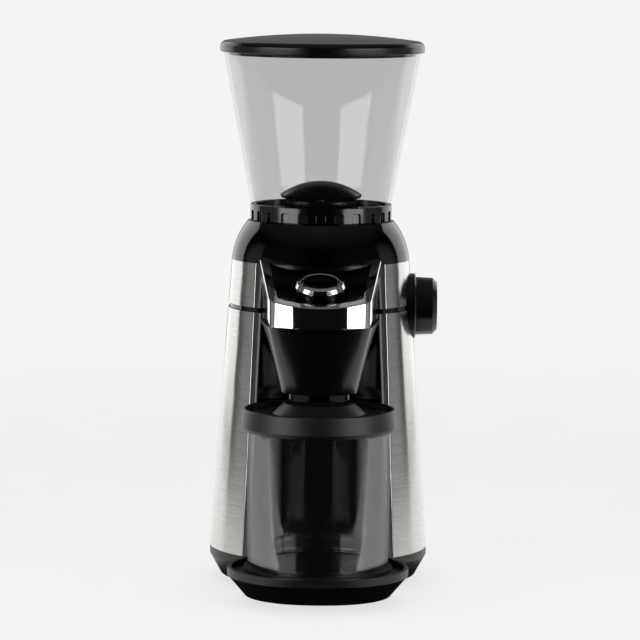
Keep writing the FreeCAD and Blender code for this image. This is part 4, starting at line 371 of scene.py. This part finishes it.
# start button: a chrome ring round a dished black cap, on an axis that leans back with the panel
button = dict(forward=101, lift=220.523, tilt=18, ringIn=12.55, sleeveLow=-3.5, sleeveR=14.2, low=5.6, ringR=17.6,
              edge=0.4, edgeRound=0.3, footRound=0.2, leanR=16.3, leanZ=8.7, leanRound=0.5, high=9.7, crest=0.9,
              crestRound=0.6, drop=0.5, capR=12.4, capRim=9.55, capRound=0.5, dish=1.6, dishSteps=14, capThick=3,
              stemR=4, stemLow=-10.9, stemRound=0.3, segments=160)
leanBack = (Matrix.Translation((burrAxis.x, burrAxis.y - button["forward"] * mm, button["lift"] * mm))
            @ Matrix.Rotation(math.radians(button["tilt"]), 4, "X"))
ringCorners = [
    (button["ringIn"], button["sleeveLow"]), (button["sleeveR"], button["sleeveLow"]),
    (button["sleeveR"], button["low"]), (button["ringR"], button["low"], button["footRound"]),
    (button["ringR"], button["low"] + button["edge"], button["edgeRound"]),
    (button["leanR"], button["leanZ"], button["leanRound"]),
    (button["ringIn"] + button["crest"], button["high"], button["crestRound"]),
    (button["ringIn"], button["high"] - button["drop"], button["edgeRound"]),
]
buttonRing = gridMesh("buttonRing", turnedGrid(roundedProfile(ringCorners), button["segments"], leanBack), True)
dress(buttonRing, "button_ring")
dishBow = (button["capR"] ** 2 + button["dish"] ** 2) / (2 * button["dish"])
capFloor = button["capRim"] - button["dish"] - button["capThick"]
dishCorners = [
    *arcCorners((0, button["capRim"] - button["dish"]), (button["capR"], button["capRim"]), dishBow,
                button["dishSteps"])[:-1],
    (button["capR"], button["capRim"], button["capRound"]), (button["capR"], capFloor, button["stemRound"]),
    (button["stemR"], capFloor), (button["stemR"], button["stemLow"], button["stemRound"]), (0, button["stemLow"]),
]
buttonCap = gridMesh("buttonCap", turnedGrid(roundedProfile(dishCorners), button["segments"], leanBack), False)
dress(buttonCap, "button_cap")

# return spring: an open coil between the switch bracket and the cap; the real one shortens as the button goes in, this
# one keeps its length
coil = dict(middleR=6.6, wireR=0.8, low=-6.85, high=4.9, turns=4, press=1.5, rows=194, columns=14)
# the wire's middle goes round at middleR while it rises evenly from low to high; across it the wire is a circle
# in the plane square to that path, and the first and last circles shrink to a point
share = np.clip((np.arange(coil["rows"]) - 1) / (coil["rows"] - 3), 0, 1)[:, None, None]
thick = np.full(share.shape, coil["wireR"])
thick[[0, -1]] = 0
climb = coil["high"] - coil["low"] - 2 * coil["wireR"]
wholeTurn = 2 * np.pi * coil["turns"]
angle = wholeTurn * share
outward = np.concatenate([np.cos(angle), np.sin(angle), 0 * angle], -1)
along = np.concatenate([-np.sin(angle), np.cos(angle), 0 * angle + climb / (wholeTurn * coil["middleR"])], -1)
upward = np.cross(outward, along / np.linalg.norm(along, axis=-1, keepdims=True))
spin = np.linspace(0, 2 * np.pi, coil["columns"], endpoint=False)[None, :, None]
path = coil["middleR"] * outward + (coil["low"] + coil["wireR"] + climb * share) * np.array((0, 0, 1))
wire = (path + thick * (np.cos(spin) * outward + np.sin(spin) * upward)) * mm
wire = wire @ np.array(leanBack.to_3x3()).T + np.array(leanBack.translation)
buttonCoil = gridMesh("buttonCoil", wire, False)
dress(buttonCoil, "button_spring")
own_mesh(buttonCoil)
print("turned pieces made")


def weldedCopy(name, node, sharpAngle=30, bevel=0):
    # the node's triangles with their shared corners joined, smooth but for edges sharper than sharpAngle
    source = nodes[node].data
    source.calc_loop_triangles()
    points = np.empty(len(source.vertices) * 3)
    source.vertices.foreach_get("co", points)
    faces = np.empty(len(source.loop_triangles) * 3, int)
    source.loop_triangles.foreach_get("vertices", faces)
    piece = putMesh(name, points.reshape(-1, 3), faces.reshape(-1, 3), sharpAngle)
    if bevel:
        work = bmesh.new()
        work.from_mesh(piece.data)
        bmesh.ops.dissolve_limit(work, angle_limit=math.radians(weld["flat"]),
                                 verts=work.verts, edges=work.edges)
        work.to_mesh(piece.data)
        work.free()
        edge = piece.modifiers.new("softEdge", "BEVEL")
        edge.width, edge.segments, edge.limit_method = bevel * mm, 2, "ANGLE"
        edge.angle_limit, edge.use_clamp_overlap = math.radians(sharpAngle), False
        piece.modifiers.move(1, 0)    # rounded before it is shaded
    return piece


# the sheet, moulded and plated pieces whose CAD shape is the finished shape, with the rounding of their edges in mm
carried = dict(
    lower_steel_shell=0, upper_steel_band=0, chrome_bezel=0.6, control_panel=0, chute_funnel=0, spout_nozzle=0.5,
    adjusting_ring=0.3, base_tray=0, bottom_cover=0, rubber_feet=0, body_housing=0, seam_ring=0, head_housing=0,
    hopper_floor=0, bean_guard=0, knob_escutcheon=0, timer_knob=0, knob_disc=0, button_collar=0.3, cord_inlet=0)
for node, rounding in carried.items():
    words = node.split("_")
    title = words[0] + "".join(word.title() for word in words[1:])
    dress(weldedCopy(title, node, bevel=rounding), node)
print("carried pieces welded,", len(carried))

# along the steel's mouth: its polished edge, and beside that a rounded grey bead on the housing
edgeRim = dict(inset=0, lowWide=0.9, highWide=0.9, sunk=0.5, bulge=0.5, rows=40, columns=10, sharp=34)
bead = dict(inset=0.95, lowWide=4.1, highWide=5.2, sunk=0.95, bulge=0.6, rows=40, columns=16, sharp=34)
endBand = 0.1    # mm of height within which a corner belongs to the sheet's end


def mouthBead(name, node, side, size, finish):
    # the sheet's mouth is straight seen from the front, so half its width and its radius go evenly with height;
    # across the bead a half turn of sine lifts its face by the bulge, and its back is flat on the housing
    corners = np.empty(len(nodes[node].data.vertices) * 3)
    nodes[node].data.vertices.foreach_get("co", corners)
    corners = corners.reshape(-1, 3) - np.array((burrAxis.x, burrAxis.y, 0))
    low, high = corners[:, 2].min(), corners[:, 2].max()
    ends = [corners[(abs(corners[:, 2] - z) < endBand * mm) & (corners[:, 1] < 0)] for z in (low, high)]
    half = [abs(end[:, 0]).min() for end in ends]
    radius = [np.hypot(end[:, 0], end[:, 1]).max() for end in ends]
    share = np.linspace(0, 1, size["rows"])[:, None]
    turn = np.linspace(0, np.pi, size["columns"])
    wide = (size["lowWide"] + (size["highWide"] - size["lowWide"]) * share) * mm
    across = half[0] + (half[1] - half[0]) * share - size["inset"] * mm - wide * (1 - np.cos(turn)) / 2
    reach = radius[0] + (radius[1] - radius[0]) * share + (size["bulge"] * np.sin(turn) - size["sunk"]) * mm
    grid = np.stack([side * across + burrAxis.x, burrAxis.y - np.sqrt(reach ** 2 - across ** 2),
                     low + (high - low) * share + 0 * across], -1)
    # columns close across the flat back, and one face caps each end
    index = np.arange(grid.shape[0] * grid.shape[1]).reshape(grid.shape[:2])
    ring = np.concatenate([index, index[:, :1]], 1)
    faces = np.stack([ring[:-1, :-1], ring[:-1, 1:], ring[1:, 1:], ring[1:, :-1]], -1).reshape(-1, 4).tolist()
    piece = putMesh(name, grid.reshape(-1, 3), [*faces, index[0].tolist(), index[-1].tolist()], size["sharp"])
    piece.data.materials.append(finishes[finish])
    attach(piece, "housing")


for node, tag in (("lower_steel_shell", "Low"), ("upper_steel_band", "High")):
    for side, hand in ((-1, "Left"), (1, "Right")):
        mouthBead("steelRim" + hand + tag, node, side, edgeRim, "polished_steel")
        mouthBead("mouthBead" + hand + tag, node, side, bead, "grey_trim_plastic")
print("mouth beads made")

# the works inside the body keep their CAD meshes and take the finish of their slots
shown = {"hopper_lid", "hopper", "head_cover", "grounds_cup", "cup_lid", "button_ring", "button_cap",
         "button_spring", *carried}
for node in sorted(set(nodes) - shown):
    nodes[node].data.materials.clear()
    nodes[node].data.materials.append(finishes[slotOf[node]])
print("works finished,", len(nodes) - len(shown))

# studio: a round paper room that reflections pass through, so the blacks stay deep, and a lamp over its floor.
# At each side stand a low softbox in front, a broad card behind and a higher card for the hopper. Sizes are in metres.
studio = dict(roomR=4.2, roomHigh=5, roomBend=2, bendSteps=16, roomSegments=96, floorGlow=0.8, wallGlow=0.905,
              nearR=0.4, farR=2.2, lampPower=6, lampHigh=2.4, lampWide=3,
              frontTurn=55, frontAway=1.2, frontWide=0.76, frontLow=0.03, frontHigh=0.27, frontPower=2.7,
              backTurn=142, backAway=1.5, backWide=1.2, backHigh=1.2, backGlow=1.3,
              upperTurn=51, upperWide=1.0, upperLow=0.46, upperHigh=0.4, upperGlow=4,
              flagAway=0.25, flagWide=0.32, flagLow=0.28, flagHigh=0.086,
              tableHalf=0.8, tableFront=-0.155, tableBack=1.6, tableLift=0.0002, tableGlow=0.85,
              openHalf=0.09, openBack=0.12, wallHalf=1.1, wallHigh=1.6, wallGloss=0.25,
              gloom=0.004, sideGlow=0.26, sideFrom=0.88, sideFull=0.97, topGlow=0.14, topFrom=0.5, topFull=0.9)
roomProfile = roundedProfile([
    (0, 0), (studio["roomR"] / mm, 0, studio["roomBend"] / mm),
    (studio["roomR"] / mm, studio["roomHigh"] / mm, studio["roomBend"] / mm),
    (0, studio["roomHigh"] / mm)], studio["bendSteps"])
paperRoom = gridMesh("paperRoom", turnedGrid(roomProfile, studio["roomSegments"], Matrix.Identity(4)), False)
paperRoom.data.flip_normals()    # seen from inside
paperRoom.visible_glossy = paperRoom.visible_diffuse = False
# Uncoated white paper with a painted glow of its own, so that it stays even under the lamps; the painted glow is
# dimmer near the middle and grows out to the wall. The eye sees a pale field with a faint mottle.
paper, paperTree, paperShader, paperPlace = newFinish("matte paper", Roughness=0.9, Specular_IOR_Level=0.0)
fibre = addNode(paperTree, "ShaderNodeTexNoise", {"Vector": paperPlace}, Scale=perMetre(60), Detail=2.0)
paperTone = addNode(paperTree, "ShaderNodeValToRGB", {"Fac": fibre.outputs["Fac"]})
paperTone.color_ramp.elements[0].color = srgb("#f1f1f1")
paperTone.color_ramp.elements[1].color = srgb("#f5f5f5")
fromMiddle = addNode(paperTree, "ShaderNodeVectorMath", {"Vector": paperPlace}, operation="LENGTH")
glow = addNode(paperTree, "ShaderNodeMapRange", {"Value": fromMiddle.outputs["Value"]},
               interpolation_type="SMOOTHSTEP", From_Min=studio["nearR"], From_Max=studio["farR"],
               To_Min=studio["floorGlow"], To_Max=studio["wallGlow"])
paperTree.links.new(paperTone.outputs["Color"], paperShader.inputs["Base Color"])
paperTree.links.new(paperTone.outputs["Color"], paperShader.inputs["Emission Color"])
paperTree.links.new(glow.outputs["Result"], paperShader.inputs["Emission Strength"])
paperRoom.data.materials.append(paper)


def reflector(name, corners, strength):
    # a card that only reflections see
    mesh = bpy.data.meshes.new(name)
    mesh.from_pydata(corners, [], [(0, 1, 2, 3)])
    card = bpy.data.objects.new(name, mesh)
    bpy.context.scene.collection.objects.link(card)
    card.visible_camera = card.visible_diffuse = card.visible_transmission = card.visible_shadow = False
    bounce = newFinish(name + " card", Base_Color=srgb("#000000"), Emission_Color=srgb("#ffffff"),
                       Emission_Strength=strength)
    mesh.materials.append(bounce[0])


# what the gloss sees: the white table, which is open in front of the object, and the wall behind it
tableHalf, openHalf, tableBack = studio["tableHalf"], studio["openHalf"], studio["tableBack"]
wallHalf, wallHigh = studio["wallHalf"], studio["wallHigh"]
for name, left, right, near in (("tableLeft", -tableHalf, -openHalf, studio["tableFront"]),
                                ("tableRight", openHalf, tableHalf, studio["tableFront"]),
                                ("tableBehind", -openHalf, openHalf, studio["openBack"])):
    reflector(name, [(x, y, studio["tableLift"]) for x, y in
                     ((left, near), (right, near), (right, tableBack), (left, tableBack))], studio["tableGlow"])
reflector("wallCard", [(x, tableBack, z) for x, z in
                       ((-wallHalf, 0), (wallHalf, 0), (wallHalf, wallHigh), (-wallHalf, wallHigh))],
          studio["wallGloss"])


def softbox(name, place, aim, wide, high, power, mirrored=True):
    lamp = bpy.data.lights.new(name, "AREA")
    lamp.shape, lamp.size, lamp.size_y, lamp.energy = "RECTANGLE", wide, high, power
    holder = bpy.data.objects.new(name, lamp)
    holder.location = place
    holder.rotation_euler = (Vector(aim) - Vector(place)).to_track_quat("-Z", "Y").to_euler()
    holder.visible_camera = holder.visible_transmission = False
    holder.visible_glossy = mirrored
    bpy.context.scene.collection.objects.link(holder)


def standingCard(name, side, turn, away, wide, low, high, strength):
    # an upright card facing the object, turn degrees from the front
    out = Vector((side * math.sin(math.radians(turn)), -math.cos(math.radians(turn)), 0))
    along, foot = Vector((-out.y, out.x, 0)) * wide / 2, out * away + Vector((0, 0, low))
    tall = Vector((0, 0, high))
    reflector(name, [foot - along, foot + along, foot + along + tall, foot - along + tall], strength)


for side, tag in ((-1, "Left"), (1, "Right")):
    turn, middle = math.radians(studio["frontTurn"]), studio["frontLow"] + studio["frontHigh"] / 2
    away = studio["frontAway"]
    softbox("front" + tag, (side * away * math.sin(turn), -away * math.cos(turn), middle), (0, 0, middle),
            studio["frontWide"], studio["frontHigh"], studio["frontPower"])
    standingCard("back" + tag, side, studio["backTurn"], studio["backAway"], studio["backWide"], 0,
                 studio["backHigh"], studio["backGlow"])
    # a higher pair that only the hopper sees: a black flag keeps each off the dome
    standingCard("upper" + tag, side, studio["upperTurn"], studio["frontAway"], studio["upperWide"],
                 studio["upperLow"], studio["upperHigh"], studio["upperGlow"])
    standingCard("flag" + tag, side, studio["upperTurn"], studio["flagAway"], studio["flagWide"],
                 studio["flagLow"], studio["flagHigh"], 0)
softbox("floorLamp", (0, 0, studio["lampHigh"]), (0, 0, 0), studio["lampWide"], studio["lampWide"],
        studio["lampPower"], False)

# dim in front, a little light from each side and from above
world = bpy.data.worlds.new("dimRoom")
bpy.context.scene.world = world
world.use_nodes = True
air = world.node_tree
ambient = air.nodes["Background"]
ambient.inputs["Color"].default_value = srgb("#ffffff")
place = addNode(air, "ShaderNodeTexCoord").outputs["Generated"]
toward = addNode(air, "ShaderNodeSeparateXYZ", {"Vector": place})
aside = addNode(air, "ShaderNodeMath", {0: toward.outputs["X"]}, operation="ABSOLUTE")
sideLight = addNode(air, "ShaderNodeMapRange", {"Value": aside.outputs["Value"]}, From_Min=studio["sideFrom"],
                    From_Max=studio["sideFull"], To_Min=studio["gloom"], To_Max=studio["sideGlow"])
topLight = addNode(air, "ShaderNodeMapRange", {"Value": toward.outputs["Z"]}, From_Min=studio["topFrom"],
                   From_Max=studio["topFull"], To_Min=studio["gloom"], To_Max=studio["topGlow"])
brighter = addNode(air, "ShaderNodeMath", {0: sideLight.outputs["Result"], 1: topLight.outputs["Result"]},
                   operation="MAXIMUM")
air.links.new(brighter.outputs["Value"], ambient.inputs["Strength"])
bpy.context.scene.view_settings.view_transform = "Standard"

# camera: fitted to the photograph's outline, a long lens a little above the lid's height
view = dict(lens=207.88, sensor=36, back=2.69205, high=0.48231, pitch=6.178, roll=0.533)
camera = bpy.data.objects.new("camera", bpy.data.cameras.new("camera"))
camera.data.lens, camera.data.sensor_width = view["lens"], view["sensor"]
camera.matrix_world = (Matrix.Translation((burrAxis.x, burrAxis.y - view["back"], view["high"]))
                       @ Matrix.Rotation(math.radians(90 - view["pitch"]), 4, "X")
                       @ Matrix.Rotation(math.radians(view["roll"]), 4, "Z"))
bpy.context.scene.collection.objects.link(camera)
bpy.context.scene.camera = camera
print("studio and camera set")

bpy.context.view_layer.update()
